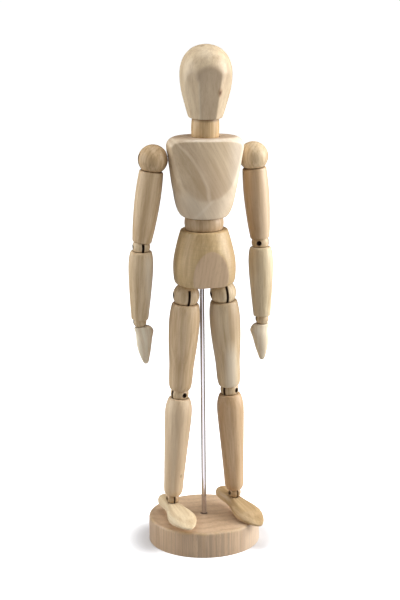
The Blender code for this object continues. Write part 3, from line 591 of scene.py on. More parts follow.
def squared(sections, sides=160):
    """A grid of superellipse rings: half-width times cos to the power 2/n, and the reach to the front or the
    back times sin to the power 2/n. The first and last rings close to a point."""
    angle = np.linspace(0.0, 2.0 * np.pi, sides, endpoint=False)
    c, s = np.cos(angle), np.sin(angle)
    height, width, front, back, power = (sections[:, k:k + 1] for k in range(5))
    x = width * np.sign(c) * np.abs(c) ** (2.0 / power)
    y = np.where(s > 0.0, back, -front) * np.abs(s) ** (2.0 / power)
    grid = np.stack([x, y, height + 0.0 * angle], axis=-1)
    ends = [np.broadcast_to((0.0, 0.0, height[k, 0]), grid[:1].shape) for k in (0, -1)]
    return np.concatenate([ends[0], grid, ends[1]])


CHEST_TOP = 0.0510
CHEST_FRONT = 0.0115
CHEST_SLOPE = 0.055
CHEST_BOW = 11.0
CHEST_TURN = -1.7
CHEST_BLEND = 0.0003
chest_face = (CHEST_FRONT + CHEST_TOP * CHEST_SLOPE, -CHEST_SLOPE, CHEST_TURN, CHEST_BOW, CHEST_BLEND)
chest = skin("chest_block", stood(sanded(squared(chest_sections), *chest_face), chest_place))
SEAT_RADIUS = 0.0085
SEAT_FLOOR = 0.0491
CROSS_BORE = (0.0029, 0.0398)
carve(
    chest,
    globe("waist_cup", waist_at, waist_cup, 96),
    drill(chest_place, SEAT_RADIUS, (0, 0, SEAT_FLOOR), (0, 0, 0.060), 96),
    drill(chest_place, BORE, (0, 0, 0.008), (0, 0, 0.052)),
    drill(chest_place, BORE, (-0.030, *CROSS_BORE), (0.030, *CROSS_BORE)),
)


def chest_figure_and_highlight(place, colour):
    """The flat is browner than the sides, most of all along its lower edge, and the block is paler below it.
    A pale growth line curves down across the front, with a browner zone on each side, and a second crosses
    below the flat. Painted highlights lie along the upper rim and down the left side, and the top shows end
    grain."""
    at = place.within(chest_place)
    height = at.along(0, 0, 1)
    across = at.along(1, 0, 0)
    flat = on_flat(at, *chest_face, 1.1, 0.0)
    low = height.between(0.0390, 0.0180)
    colour = (flat * 0.36 * low).tint(colour, (0.50, 0.355, 0.23))
    below = (1.0 - flat) * height.between(0.0230, 0.0150)
    colour = (below * 0.40).tint(colour, (0.84, 0.72, 0.57))
    drop = CHEST_TOP - height
    wander = (at.speckle(60.0) - 0.5) * 0.003
    line = across + 0.0209 - drop * 1.07 + drop * drop * 14.2 + wander
    inside = line.between(-0.0080, -0.0066) * line.between(-0.0004, -0.0016)
    colour = (inside * flat * 0.30).tint(colour, (0.47, 0.33, 0.20))
    outside = line.between(0.0002, 0.0012) * line.between(0.0150, 0.0020)
    colour = (outside * flat * 0.26).tint(colour, (0.49, 0.335, 0.22))
    ridge = abs(line).between(0.0020, 0.0)
    colour = (ridge * height.between(0.0130, 0.0180) * 0.40).tint(colour, (0.90, 0.76, 0.58))
    under = abs(at.along(1.0, 0.0, -0.94) + 0.0127)
    under = under.between(0.0022, 0.0) * height.between(0.0165, 0.0140)
    colour = (under * 0.28).tint(colour, (0.93, 0.82, 0.68))
    # Painted highlights, mottled: along the upper rim off the flat, fainter at the far right, and down the
    # left side
    mottle = 0.70 + at.speckle(260.0).between(0.35, 0.60) * 0.30
    rim = height.between(0.0455, 0.0478) * (1.0 - flat) * mottle
    rim = rim * (0.25 + across.between(-0.0190, -0.0060) * 0.75)
    corner = across.between(0.0080, 0.0180) * height.between(0.0100, 0.0300) * (1.0 - flat * 0.45)
    colour = (rim.most(corner) * 0.75).tint(colour, (0.95, 0.84, 0.70))
    return (height.between(0.0503, 0.0509) * 0.65).tint(colour, (0.55, 0.40, 0.275))


chest_grain = chest_place @ Matrix.Rotation(math.radians(-28.0), 4, "Y")
beech(
    chest, "chest", chest_grain, (0.82, 0.66, 0.46), (0.58, 0.42, 0.255), pith=(0.030, -0.045),
    gap=0.0105, rings=0.45, fibre=0.45, mark=chest_figure_and_highlight,
)


# Neck
# A short turned barrel in a shallow seat on the chest. Its domed top carries the head, whose spring eye runs
# in a slot on a pin drilled in from one side.

neck_place = placed(neck_at, chest_up, joint_axis("head_nod"))
NECK_DOME = 0.0100
NECK_LOW = -0.0062
NECK_SLOT = 0.0046
neck_profile = np.concatenate([
    arc((0.0, 0.0), NECK_DOME, 0.0, 48.0, 14),
    through([
        (0.00775, 0.0061), (0.0080, 0.0050), (0.00825, 0.0008), (0.0081, -0.0035), (0.0078, NECK_LOW),
    ], 6),
    [(0.0, NECK_LOW)],
])
neck = skin("neck_barrel", turned(neck_profile, neck_place, 120))
carve(
    neck,
    saw(neck_place, (-SLOT, -NECK_SLOT, SLOT_FLOOR), (SLOT, NECK_SLOT, 0.0110)),
    drill(neck_place, PIN_HOLE, (-0.005, 0, 0), (0.009, 0, 0)),
    drill(neck_place, TAIL_HOLE, (0, 0, -0.0092), (0, 0, -0.0032)),
)


def chin_shade(place, colour):
    """Painted shade: a dark ring round the top of the barrel, under the chin."""
    ring = place.within(neck_place).along(0, 0, 1).between(0.0040, 0.0058)
    return (ring * 0.65).tint(colour, (0.20, 0.125, 0.07))


beech(
    neck, "neck", neck_place, (0.76, 0.55, 0.31), (0.54, 0.35, 0.165), pith=(0.012, 0.016), gap=0.0024,
    fibre=0.6, mark=chin_shade,
)


# Head
# An egg with a flat-cut chin, deeper than it is wide. The sander has left a flat face and a flat cheek on
# each side, meeting in soft upright edges. The chin is cupped to nod on the neck.

HEAD_BOTTOM = 0.0064
# Height above the neck's centre, half-width and half-depth
head_sizes = through([
    (HEAD_BOTTOM, 0.0093, 0.0102), (0.0068, 0.0099, 0.0108), (0.0085, 0.0106, 0.0115),
    (0.0140, 0.0122, 0.0132), (0.0220, 0.0143, 0.0154), (0.0300, 0.0153, 0.0165),
    (0.0362, 0.0149, 0.0161), (0.0415, 0.0130, 0.0140), (0.0455, 0.0097, 0.0105),
    (0.0476, 0.0062, 0.0067), (0.0486, 0.0027, 0.0029), (0.0488, 0.0006, 0.0006),
], 8)
HEAD_SQUARENESS = 2.0
head_rest = (head_sizes[:, 2], np.full(len(head_sizes), HEAD_SQUARENESS))
head_grid = squared(np.column_stack([head_sizes, *head_rest]))
FACE_SLOPE = math.tan(math.radians(12.3))
FACE_BOW = 4.0
FACE_BLEND = 0.00018
# The face and the left and right cheeks: the way each looks, and how far it stands off the axis at the chin
faces = [
    (distance - HEAD_BOTTOM * FACE_SLOPE, FACE_SLOPE, turn, FACE_BOW, FACE_BLEND)
    for turn, distance in ((0.0, 0.0093), (42.0, 0.0100), (-42.0, 0.0100))
]
for face in faces:
    head_grid = sanded(head_grid, *face)
head = skin("head_egg", stood(head_grid, neck_place))
carve(
    head,
    globe("neck_cup", neck_at, NECK_DOME + GAP, 96),
    drill(neck_place, BORE, (0, 0, 0.008), (0, 0, 0.026)),
)


def head_marks(place, colour):
    """The face is browner than the cheeks, and they than the rest, most of all along the face's right edge.
    Painted shade darkens the flats under the brow and runs out softly above them, and a painted highlight
    lies along that edge. A brown knot with a darker heart lies at the other edge, and the lathe's mark on the
    crown."""
    at = place.within(neck_place)
    height = at.along(0, 0, 1)
    # Painted shade: the flats darken towards the brow, and the darkening spreads softly up past their top
    # edges
    brow_shade = height.between(0.0240, 0.0330) * 0.16
    edge = at.along(-1, 0, 0).between(-0.0020, 0.0075) * 0.16
    for face, share in zip(faces, (0.36 + edge, 0.08, 0.11)):
        brow_shade_spread = on_flat(at, *face, fade=9.0) * (0.5 + at.speckle(160.0))
        flat = on_flat(at, *face).most(brow_shade_spread * height.between(0.0270, 0.0310))
        colour = (flat * (share + brow_shade)).tint(colour, (0.47, 0.345, 0.235))
    # Painted highlight: a pale line along the edge between the face and the right cheek
    ridge = on_flat(at, *faces[0], fade=3.5) * on_flat(at, *faces[2], fade=3.5)
    colour = (ridge * height.between(0.0310, 0.0270) * 0.45).tint(colour, (0.88, 0.76, 0.57))
    rough = (place.speckle(900.0) - 0.5) * 0.0006
    knot = place.stretched(1, 1, 0.62).away((0.0070, -0.0189, 0.2782 * 0.62)) + rough
    colour = (knot.between(0.0023, 0.0009) * 0.70).tint(colour, (0.42, 0.25, 0.14))
    colour = (knot.between(0.0012, 0.0004) * 0.85).tint(colour, (0.15, 0.075, 0.04))
    crown = place.away((-0.0011, -0.0094, 0.3043))
    return (crown.between(0.0016, 0.0005) * 0.6).tint(colour, (0.33, 0.22, 0.13))


beech(
    head, "head", neck_place, (0.82, 0.67, 0.46), (0.58, 0.43, 0.27), pith=(0.005, 0.040), gap=0.0052,
    rings=0.3, fibre=0.5, mark=head_marks,
)


# Shoulder balls
# Hardwood balls with a flat where they turn against the chest. The shoulder spring's tail enters through the
# flat, and the arm's eye runs in a saw slot, on a pin driven in from behind.

PALE = (0.81, 0.645, 0.425)
TAN = (0.56, 0.395, 0.22)


def warmed(colour, target, share):
    """A colour moved a share of the way to another."""
    return tuple(a + (b - a) * share for a, b in zip(colour, target))


SLOT_TOP = 0.0024
TAIL_WOOD = 0.0030
TAIL_START = 0.0021
PIN = 0.0011


def slotted_ball(
    name, radius, rim, place, upper, pin_end=None, slot=SLOT, slot_top=SLOT_TOP, pin=PIN, warm=0.0, hole_shade=0.92,
    tools=(),
):
    """A ball with a saw slot across its own YZ plane, a pin hole along X and a tail hole along upper. The
    slot ends at slot_top in front and behind, and at SLOT_TOP inside, where the tail needs wood. Its wood is
    the limbs', or browner by warm, darkened by a share of painted shade in slot and pin hole, and by a line
    of painted shade at the rim below."""
    centre = place.translation
    piece = globe(name + "_globe", centre, radius, 96)
    wide = 1.2 * radius
    blind = -wide if pin_end is None else pin_end
    kerfs = []
    if slot_top > SLOT_TOP:
        kerfs.append(saw(place, (-slot, -wide, 0.0), (slot, -TAIL_WOOD, slot_top)))
        kerfs.append(saw(place, (-slot, TAIL_WOOD, 0.0), (slot, wide, slot_top)))
    carve(
        piece,
        saw(place, (-slot, -wide, -wide), (slot, wide, SLOT_TOP)),
        *kerfs,
        drill(place, pin + GAP, (blind, 0, 0), (wide, 0, 0)),
        drill(Matrix.Translation(centre), TAIL_HOLE, upper * TAIL_START, upper * wide),
        *tools,
    )

    # Painted shade: the slot's walls and edges, the mouth of the pin hole and a line under the rim are
    # darkened
    def slot_shade(position, colour):
        at = position.within(place)
        across = at.along(1, 0, 0)
        wall_shade = abs(across).between(slot + 0.0003, slot + 0.00005)
        wall_shade = wall_shade * at.along(0, 0, 1).between(slot_top + 0.0004, slot_top)
        hole_mouth_shade = at.stretched(0, 1, 1).away().between(pin + 0.0006, pin + 0.00035)
        hole_mouth_shade = hole_mouth_shade * across.between(blind - 0.0005, blind - 0.0003)
        return (wall_shade.most(hole_mouth_shade) * hole_shade).tint(rim_shade(at, colour, -rim), (0.10, 0.055, 0.03))

    pale, dark = warmed(PALE, (0.64, 0.445, 0.25), warm), warmed(TAN, (0.42, 0.265, 0.125), warm)
    finish = wood(name + "_wood", place, pale, dark, (0.006, 0.010), 0.0019, 0.35, 0.55, mark=slot_shade)
    fit(piece, finish, name, "beech", name + "_ball")


def limb_place(top_joint, low_joint):
    """A limb's frame: at its upper ball, Z up from the lower ball, X along the upper ball's pin."""
    top = joint_spot(top_joint)
    return placed(top, top - joint_spot(low_joint), joint_axis(top_joint))


SHOULDER_RADIUS = 0.0088
SHOULDER_FLAT = 0.0080
SHOULDER_RIM = 0.0069
SHOULDER_PIN_END = -0.0062
BLOCK = 0.02
shoulder_warm = {"left": 0.0, "right": 0.75}
for side, sign in SIDES.items():
    arm = limb_place(side + "_arm_raise", side + "_elbow_swivel")
    place = placed(arm.translation, arm.col[2].to_3d(), (0, 1, 0))
    inward = joint_axis(side + "_shoulder_swing") * sign
    against = placed(place.translation, -inward, (0, 1, 0))
    flat = saw(against, (-BLOCK, -BLOCK, -BLOCK), (BLOCK, BLOCK, -SHOULDER_FLAT))
    slotted_ball(
        side + "_shoulder", SHOULDER_RADIUS, SHOULDER_RIM, place, inward, SHOULDER_PIN_END,
        warm=shoulder_warm[side], tools=(flat,),
    )


# Upper arms, forearms, thighs and shins
# Turned limbs, swelling below the upper rim and drawn in towards the lower one. Each end is cupped over its
# ball, with a rim that the lathe left crisp, and a bore runs through for the spring.

def cupped_limb(name, place, length, outline, upper, lower):
    """A lathe ring: the outline down the outside, the lower cup, the bore and the upper cup back to the
    start. upper and lower are (ball radius, distance of the rim from that ball's centre)."""
    low_radius, top_radius = lower[0] + GAP, upper[0] + GAP
    low_cup = arc(
        (0.0, -length), low_radius, math.degrees(math.acos(lower[1] / low_radius)),
        math.degrees(math.asin(BORE / low_radius)), 10,
    )
    top_cup = arc(
        (0.0, 0.0), top_radius, 180.0 - math.degrees(math.asin(BORE / top_radius)),
        180.0 - math.degrees(math.acos(upper[1] / top_radius)), 10,
    )
    profile = np.concatenate([outline, low_cup, top_cup])
    return skin(name, turned(profile, place, 112), ring=True)


ELBOW_RADIUS = 0.00525
ELBOW_RIM = 0.0027
WRIST_RADIUS = 0.0040
HIP_RIM = 0.0050
KNEE_RADIUS = 0.0055
KNEE_RIM = 0.0027
ANKLE_RADIUS = 0.0039
# Each limb: joints, balls and rims, and its side from the upper rim down: radius, distance below the ball
limb_kinds = {
    "upper_arm": (
        "arm_raise", "elbow_swivel", (SHOULDER_RADIUS, SHOULDER_RIM), (ELBOW_RADIUS, ELBOW_RIM),
        [(0.0066, 0.0069), (0.0070, 0.0073), (0.0072, 0.0088), (0.0075, 0.0145), (0.0076, 0.0220),
         (0.0073, 0.0310), (0.0066, 0.0410), (0.0060, 0.0465), (0.0057, 0.0488), (0.0053, 0.0494)],
    ),
    "forearm": (
        "elbow_bend", "wrist_swivel", (ELBOW_RADIUS, ELBOW_RIM), (WRIST_RADIUS, 0.0018),
        [(0.0054, 0.0027), (0.0061, 0.0030), (0.0065, 0.0038), (0.0071, 0.0070), (0.00735, 0.0120),
         (0.0071, 0.0200), (0.0064, 0.0300), (0.0054, 0.0415), (0.0051, 0.0443), (0.0047, 0.0448)],
    ),
    "thigh": (
        "thigh_swing", "knee_swivel", (HIP_RADIUS, HIP_RIM), (KNEE_RADIUS, KNEE_RIM),
        [(0.0072, 0.0050), (0.0078, 0.0053), (0.0083, 0.0066), (0.0090, 0.0115), (0.0092, 0.0190),
         (0.0086, 0.0310), (0.0075, 0.0430), (0.0071, 0.0530), (0.0067, 0.0567), (0.0061, 0.0584),
         (0.0056, 0.0589)],
    ),
    "shin": (
        "knee_bend", "ankle_swivel", (KNEE_RADIUS, KNEE_RIM), (ANKLE_RADIUS, 0.0024),
        [(0.0056, 0.0027), (0.0063, 0.0030), (0.0068, 0.0039), (0.0078, 0.0075), (0.0082, 0.0130),
         (0.0077, 0.0240), (0.0068, 0.0400), (0.0060, 0.0560), (0.0059, 0.0605), (0.0055, 0.0630),
         (0.0046, 0.0648), (0.0041, 0.0651)],
    ),
}
# How each limb's wood differs: pith beside the limb, ring gap, and how much warmer it is
limb_looks = {
    "left_upper_arm": ((0.022, -0.012), 0.0040, 0.75), "right_upper_arm": ((-0.015, 0.022), 0.0046, 0.30),
    "left_forearm": ((0.012, 0.020), 0.0036, -0.45), "right_forearm": ((0.018, -0.020), 0.0050, 0.15),
    "left_thigh": ((-0.020, 0.018), 0.0052, 0.05), "right_thigh": ((0.016, 0.024), 0.0048, 0.40),
    "left_shin": ((0.010, -0.026), 0.0044, 0.85), "right_shin": ((-0.022, -0.014), 0.0050, -0.10),
}
HEART = (0.40, 0.275, 0.165)
SAP_AND_HIGHLIGHT = (0.98, 0.87, 0.70)
ROSY = (0.97, 0.72, 0.52)
# Layers of heartwood, sapwood and rosy wood that run down a limb, and one painted highlight: distance
# across it from the middle, half-width, the distances below the ball where each starts and is full, and its
# stain and share
limb_layers = {
    "left_upper_arm": ((0.0008, 0.0034, -0.01, 0, HEART, 0.30), (0.0066, 0.0042, -0.01, 0, SAP_AND_HIGHLIGHT, 0.18)),
    "left_forearm": ((-0.0052, 0.0056, -0.01, 0, SAP_AND_HIGHLIGHT, 0.32),),
    # The right forearm's pale layer is a painted highlight on its side towards the body and the strongest
    # lamp
    "right_forearm": ((0.0058, 0.0046, 0.0, 0.010, SAP_AND_HIGHLIGHT, 0.50),),
    "left_thigh": (
        (0.0070, 0.0075, 0.036, 0.022, HEART, 0.46), (-0.0070, 0.0070, 0.060, 0.030, SAP_AND_HIGHLIGHT, 0.36),
        (0.0045, 0.0050, 0.026, 0.040, SAP_AND_HIGHLIGHT, 0.50),
    ),
    "right_shin": ((0.0, 0.0250, -0.01, 0, ROSY, 0.26),),
}
# Across the figure, square to the lens
ACROSS = (0.9646, -0.264, 0.0)


def layers_and_highlight(name, limb):
    """A limb's mark: each of its layers is a slab through the timber, save the right forearm's, which is a
    painted highlight, and one shin has a brown fleck.
    """
    sideways = limb.to_3x3().inverted() @ Vector(ACROSS)

    def layers(place, colour):
        at = place.within(limb)
        for shift, wide, start, full, stain, share in limb_layers.get(name, ()):
            slab = abs(at.along(*sideways) - shift).between(wide, 0.3 * wide)
            colour = (slab * at.along(0, 0, -1).between(start, full) * share).tint(colour, stain)
        if name == "right_shin":
            fleck = place.stretched(1, 1, 0.6).away((-0.0163, -0.0072, 0.0443 * 0.6))
            colour = (fleck.between(0.0010, 0.0004) * 0.6).tint(colour, (0.33, 0.22, 0.09))
        return colour

    return layers


for side in SIDES:
    for kind, (top_joint, low_joint, upper, lower, outline) in limb_kinds.items():
        name = side + "_" + kind
        top, low = side + "_" + top_joint, side + "_" + low_joint
        place = limb_place(top, low)
        length = (joint_spot(top) - joint_spot(low)).length
        outside = through([(radius, -below) for radius, below in outline], 6)
        limb = cupped_limb(name + "_turned", place, length, outside, upper, lower)
        pith, gap, warm = limb_looks[name]
        pale, dark = warmed(PALE, (0.72, 0.50, 0.30), warm), warmed(TAN, (0.54, 0.34, 0.18), warm)
        beech(limb, name, place, pale, dark, pith, gap, rings=0.35, fibre=0.55, mark=layers_and_highlight(name, place))


# Elbow, wrist, hip, knee and ankle balls
# Small hardwood balls, each slotted for the eye or the tongue of the piece below and drilled for its pin.
# The ends of the pins lie sunk in their holes.

ball_kinds = {
    "elbow": (ELBOW_RADIUS, ELBOW_RIM, "elbow_bend", "elbow_swivel", "wrist_swivel"),
    "hip": (HIP_RADIUS, HIP_RIM, "thigh_swing", "hip_turn", "knee_swivel"),
    "knee": (KNEE_RADIUS, KNEE_RIM, "knee_bend", "knee_swivel", "ankle_swivel"),
}
# How much browner than the limbs each ball is, and how far up the hips' slots are cut
ball_warm = {
    "left_elbow": 0.10, "right_elbow": 0.10, "left_hip": -0.30, "right_hip": 0.30,
    "left_knee": 0.30, "right_knee": 0.30,
}
slot_tops = {"left_hip": 0.0066, "right_hip": 0.0042}
for side, sign in SIDES.items():
    for kind, (radius, rim, bend, swivel, far) in ball_kinds.items():
        name = side + "_" + kind
        slotted_ball(
            name, radius, rim, limb_place(side + "_" + bend, side + "_" + far),
            sign * joint_axis(side + "_" + swivel), slot_top=slot_tops.get(name, SLOT_TOP),
            warm=ball_warm[name],
        )

# Which way the hands hang and the feet point, as degrees out from the body, back, and down at the toe
palm_lean = {"left": (0.8, 3.1), "right": (-7.1, -2.4)}
toe_drop = {"left": 9.5, "right": 3.5}
WRIST_RIM = 0.0030
WRIST_SLOT = 0.00085
WRIST_PIN = 0.0007
WRIST_PIN_END = -0.0029
ANKLE_RIM = 0.0022
ANKLE_SLOT = 0.00048
hand_places = {}
foot_places = {}
for side, sign in SIDES.items():
    out, back = (math.tan(math.radians(angle)) for angle in palm_lean[side])
    wrist_at = joint_spot(side + "_hand_tilt")
    hand_places[side] = placed(wrist_at, (-sign * out, -back, 1.0), (0, 1, 0))
    slotted_ball(
        side + "_wrist", WRIST_RADIUS, WRIST_RIM, hand_places[side],
        sign * joint_axis(side + "_wrist_swivel"), WRIST_PIN_END, slot=WRIST_SLOT, pin=WRIST_PIN, warm=0.15,
    )
    ankle_at = joint_spot(side + "_foot_tilt")
    lateral = -joint_axis(side + "_foot_tilt")
    toe = Vector((lateral.y, -lateral.x, 0.0))
    foot_up = Vector((0.0, 0.0, 1.0)) + toe * math.tan(math.radians(toe_drop[side]))
    foot_places[side] = placed(ankle_at, foot_up, lateral)
    slotted_ball(
        side + "_ankle", ANKLE_RADIUS, ANKLE_RIM, foot_places[side],
        sign * joint_axis(side + "_ankle_swivel"), slot=ANKLE_SLOT, warm=0.8, hole_shade=0.30,
    )


# Hands
# Mitten hands shaped on the sander, with a swelling for the thumb on the side of the body. A tongue goes up
# into the wrist ball's slot and hangs on its pin.

# Height, shift towards the body, half-width across the palm, half-thickness
hand_sections = through([
    (-0.0263, 0.0, 0.0004, 0.0004), (-0.0259, 0.0, 0.0011, 0.0010), (-0.0248, 0.0, 0.0018, 0.0015),
    (-0.0225, 0.0, 0.0026, 0.0021), (-0.0190, 0.0002, 0.0036, 0.0029), (-0.0150, 0.0005, 0.0044, 0.0035),
    (-0.0110, 0.0011, 0.0049, 0.0039), (-0.0072, 0.0019, 0.0054, 0.0041), (-0.0050, 0.0015, 0.0053, 0.0040),
    (-0.0036, 0.0008, 0.0048, 0.0038), (-0.0030, 0.0004, 0.0040, 0.0032),
], 6)
TONGUE = 0.0005
TONGUE_HALF = 0.0018
TONGUE_ROOT = -0.0062
TONGUE_HOLE = 0.0010


def capped(grid):
    """Closes each end of a grid at the middle of its ring."""
    ends = [np.broadcast_to(grid[k].mean(axis=0), grid[:1].shape) for k in (0, -1)]
    return np.concatenate([ends[0], grid, ends[1]])


for side, sign in SIDES.items():
    angle = np.linspace(0.0, 2.0 * np.pi, 96, endpoint=False)
    height, inward, wide, thick = (hand_sections[:, k:k + 1] for k in range(4))
    palm = sign * inward + wide * np.sin(angle)
    grid = np.stack([thick * np.cos(angle), palm, height + 0.0 * angle], axis=-1)
    place = hand_places[side]
    hand = skin(side + "_mitten", stood(capped(grid), place))
    carve(hand, globe("wrist_cup", place.translation, WRIST_RADIUS + GAP, 64))
    turn = np.linspace(0.0, np.pi, 25)
    edge = np.concatenate([
        np.stack([TONGUE_HALF * np.cos(turn), TONGUE_HALF * np.sin(turn)], axis=-1),
        [(-TONGUE_HALF, TONGUE_ROOT), (TONGUE_HALF, TONGUE_ROOT)],
    ])
    hub = np.zeros_like(edge) + (0.0, -0.0004)
    rows = [np.concatenate([np.full((len(edge), 1), x), flat], axis=1)
            for x, flat in ((-TONGUE, hub), (-TONGUE, edge), (TONGUE, edge), (TONGUE, hub))]
    tongue = skin("tongue", stood(np.stack(rows), place))
    carve(tongue, drill(place, TONGUE_HOLE, (-0.002, 0, 0), (0.002, 0, 0)))
    carve(hand, tongue, operation="UNION")
    beech(
        hand, side + "_hand", place, (0.95, 0.85, 0.665), (0.82, 0.67, 0.48), pith=(0.004, sign * 0.018),
        gap=0.0030, rings=0.5,
    )


# Feet
# Feet like shoe lasts: a narrow heel, a waist, a broad domed forefoot and a thin flat edge round the sole.
# Each is cupped for its ankle ball and drilled for the hook that ties it there.

SOLE = -0.0076
SOLE_EDGE = 0.0010
# Place along the foot (toe at -Y), half-width, top height before the sole's rim is sanded
foot_sections = through([
    (0.0165, 0.0010, -0.0060), (0.0162, 0.0024, -0.0048), (0.0148, 0.0043, -0.0034),
    (0.0105, 0.0055, -0.0026), (0.0045, 0.0053, -0.0023), (-0.0005, 0.0050, -0.0021),
    (-0.0060, 0.0058, -0.0020), (-0.0115, 0.0075, -0.0020), (-0.0170, 0.0083, -0.0022),
    (-0.0195, 0.0081, -0.0025), (-0.0215, 0.0077, -0.0033), (-0.0255, 0.0060, -0.0046),
    (-0.0285, 0.0041, -0.0057), (-0.0306, 0.0021, -0.0064), (-0.0314, 0.0007, -0.0066),
], 6)
FOOT_SQUARENESS = 2.4
DOME_BLEND = 0.0002
foot_looks = {
    "left": ((0.66, 0.475, 0.265), (0.45, 0.295, 0.14)),
    "right": ((0.87, 0.72, 0.49), (0.66, 0.49, 0.29)),
}


def instep(along):
    """Height of the flat that the sander left along the top of the foot."""
    return -0.0026 + (along + 0.0150) * 0.028


for side in SIDES:
    along, wide, top = (foot_sections[:, k:k + 1] for k in range(3))
    angle = np.linspace(0.0, np.pi, 65)
    c, s = np.cos(angle), np.sin(angle)
    edge = SOLE + SOLE_EDGE
    rise = edge + (top - edge) * np.abs(s) ** (2.0 / FOOT_SQUARENESS)
    across = wide * np.sign(c) * np.abs(c) ** (2.0 / FOOT_SQUARENESS)
    dome = np.stack([across, along + 0.0 * angle, lesser(rise, instep(along), DOME_BLEND)], axis=-1)
    flat = np.array([-0.97, -0.9, -0.5, 0.5, 0.9, 0.97])
    under = np.stack([wide * flat, along + 0.0 * flat, SOLE + 0.0 * (along + flat)], axis=-1)
    grid = np.concatenate([dome, under], axis=1)
    place = foot_places[side]
    foot = skin(side + "_last", stood(capped(grid), place))
    carve(
        foot,
        globe("ankle_cup", place.translation, ANKLE_RADIUS + GAP, 64),
        drill(place, TAIL_HOLE, (0, 0, -0.0059), (0, 0, -0.0019)),
    )
    grain = place @ Matrix.Rotation(math.radians(90.0), 4, "X")
    beech(foot, side + "_foot", grain, *foot_looks[side], pith=(0.006, 0.024), gap=0.0036, rings=0.5)


# Pins
# Cross pins cropped from steel wire, so that each end is nipped to a blunt point. They lie sunk in the holes
# of the balls and carry the eyes.

PIN_NIP = 0.0008
PIN_TIP = 0.35
pin_joints = {
    "waist": "chest_bend", "neck": "head_nod", "shoulder": "arm_raise", "elbow": "elbow_bend",
    "wrist": "hand_tilt", "hip": "thigh_swing", "knee": "knee_bend", "ankle": "foot_tilt",
}
# The pins are coloured near black, painted shade for the holes they lie sunk in
pin_steel = steel("pin_steel", (0.045, 0.028, 0.018), 0.55)
for name, node in frame["nodes"].items():
    if name.endswith("_pin"):
        *side, kind, _ = name.split("_")
        joint = joints["_".join([*side, pin_joints[kind]])]
        spots = np.empty(3 * len(node.data.vertices))
        node.data.vertices.foreach_get("co", spots)
        axis = Vector(joint["axis"])
        spots = spots.reshape(-1, 3) - np.array(joint["pos_m"])
        reach = spots @ np.array(axis)
        wide = np.linalg.norm(spots - reach[:, None] * np.array(axis), axis=1).max()
        low, high = reach.min(), reach.max()
        tip = PIN_TIP * wide
        profile = [
            (0.0, high), (tip, high), (wide, high - PIN_NIP), (wide, low + PIN_NIP), (tip, low), (0.0, low),
        ]
        place = placed(joint["pos_m"], axis, (0.3, 0.5, 0.8))
        fit(skin(name + "_wire", turned(profile, place, 32)), pin_steel, joint["parent"], "steel", name)


# Springs
# Bent from thin spring wire: an eye on the pin, a coil in the bore and a straight tail with a button. Almost
# all of this is out of sight inside the wood.

spring_steel = steel("spring_steel", (0.11, 0.085, 0.065), 0.45)
for name, node in frame["nodes"].items():
    if name.endswith(("_spring", "_hook")):
        node.data.materials.clear()
        node.data.materials.append(spring_steel)


# Floor, light and camera
# A white floor under soft lamps at both sides and above, the strongest at the figure's left, and a lens of
# about 107 mm a metre off, higher than the head, looking down at the middle from the figure's right.

# Each lamp's place, width, height and power
lamps = {
    "right_softbox": ((0.95, -0.12, 0.45), 0.5, 0.9, 10.4),
    "right_front_softbox": ((0.88, -0.46, 0.50), 0.5, 0.9, 6.0),
    "left_softbox": ((-0.95, -0.10, 0.38), 0.5, 0.9, 3.2),
    "left_back_softbox": ((-0.90, 0.35, 0.45), 0.5, 0.9, 5.0),
    "top_softbox": ((0.05, -0.05, 1.25), 0.9, 0.9, 7.4),
}
middle = Vector((0.0, 0.0, 0.15))
for name, (spot, width, height, power) in lamps.items():
    light = bpy.data.lights.new(name, "AREA")
    light.shape = "RECTANGLE"
    light.size, light.size_y = width, height
    light.energy = power
    lamp = bpy.data.objects.new(name, light)
    lamp.location = spot
    lamp.rotation_euler = (middle - Vector(spot)).to_track_quat("-Z", "Y").to_euler()
    bpy.context.scene.collection.objects.link(lamp)

AMBIENT = 0.04
world = bpy.data.worlds.new("studio")
world.use_nodes = True
bpy.context.scene.world = world
dim = world.node_tree.nodes["Background"]
dim.inputs["Color"].default_value = (1.0, 1.0, 1.0, 1.0)
dim.inputs["Strength"].default_value = AMBIENT
# Towards the lens; reflections that look this way see white too
LENS_WAY = (-0.26, -0.97, 0.0)


def seen_rays(tree, ahead):
    """1 for rays from the lens, and for reflections as far as they look ahead."""
    path = tree.nodes.new("ShaderNodeLightPath").outputs
    return Signal(path["Is Camera Ray"]) + Signal(path["Is Glossy Ray"]) * ahead


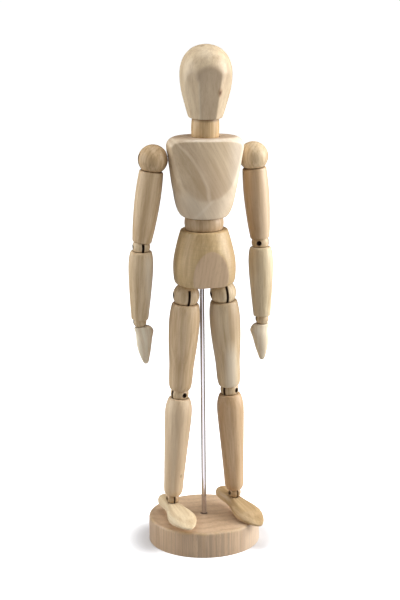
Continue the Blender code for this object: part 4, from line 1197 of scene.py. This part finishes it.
heading = Signal(world.node_tree.nodes.new("ShaderNodeTexCoord").outputs["Generated"])
rays = seen_rays(world.node_tree, heading.along(*LENS_WAY).between(0.45, 0.85))
white = rays.node("ShaderNodeBackground", {}, {"Color": (1.0, 1.0, 1.0), "Strength": 1.0})
sky = rays.node("ShaderNodeMixShader", {}, {0: rays, 1: Signal(dim.outputs[0]), 2: white})
sky.into(world.node_tree.nodes["World Output"], "Surface")

floor = skin("white_floor", turned([(0.0, 0.0), (0.4, 0.0), (1.2, 0.0), (9.0, 0.0)], upright, 64))
matt = {"Roughness": 1.0, "Specular IOR Level": 0.0, "Emission Strength": 1.0}
floor_paint, paint, floor_at = blank("white_floor", matt)
radius = floor_at.away()
seen = seen_rays(floor_paint.node_tree, (floor_at.along(*LENS_WAY) / radius).between(0.45, 0.85))
seen.tint((0.42, 0.42, 0.42), (0.70, 0.70, 0.72)).into(paint, "Base Color")
shade = abs(floor_at.along(*ACROSS) / radius).between(0.55, 0.95) * radius.between(0.058, 0.036)
(seen * (1.0 - shade * 0.90)).tint((0.0, 0.0, 0.0), (1.0, 1.0, 1.0)).into(paint, "Emission Color")
floor.data.materials.append(floor_paint)

# The lens is given by what it does to the picture, in pixels per unit of slope
FOCAL_PIXELS = 1777.8
FRAME_PIXELS = 600.0
DISTANCE = 1.0305
CAMERA_HEIGHT = 0.4182
BEARING = math.radians(-15.31)
PAN = math.radians(0.067)
TILT = math.radians(14.495)
ROLL = math.radians(-0.570)
lens = bpy.data.cameras.new("camera")
lens.sensor_width = 36.0
lens.lens = FOCAL_PIXELS / FRAME_PIXELS * lens.sensor_width
lens.clip_start = 0.05
camera = bpy.data.objects.new("camera", lens)
bpy.context.scene.collection.objects.link(camera)
spot = Matrix.Translation((DISTANCE * math.sin(BEARING), -DISTANCE * math.cos(BEARING), CAMERA_HEIGHT))
aim = Matrix.Rotation(BEARING + PAN, 4, "Z") @ Matrix.Rotation(math.pi / 2.0 - TILT, 4, "X")
camera.matrix_world = spot @ aim @ Matrix.Rotation(ROLL, 4, "Z")
bpy.context.scene.camera = camera
bpy.context.scene.view_settings.view_transform = "Standard"
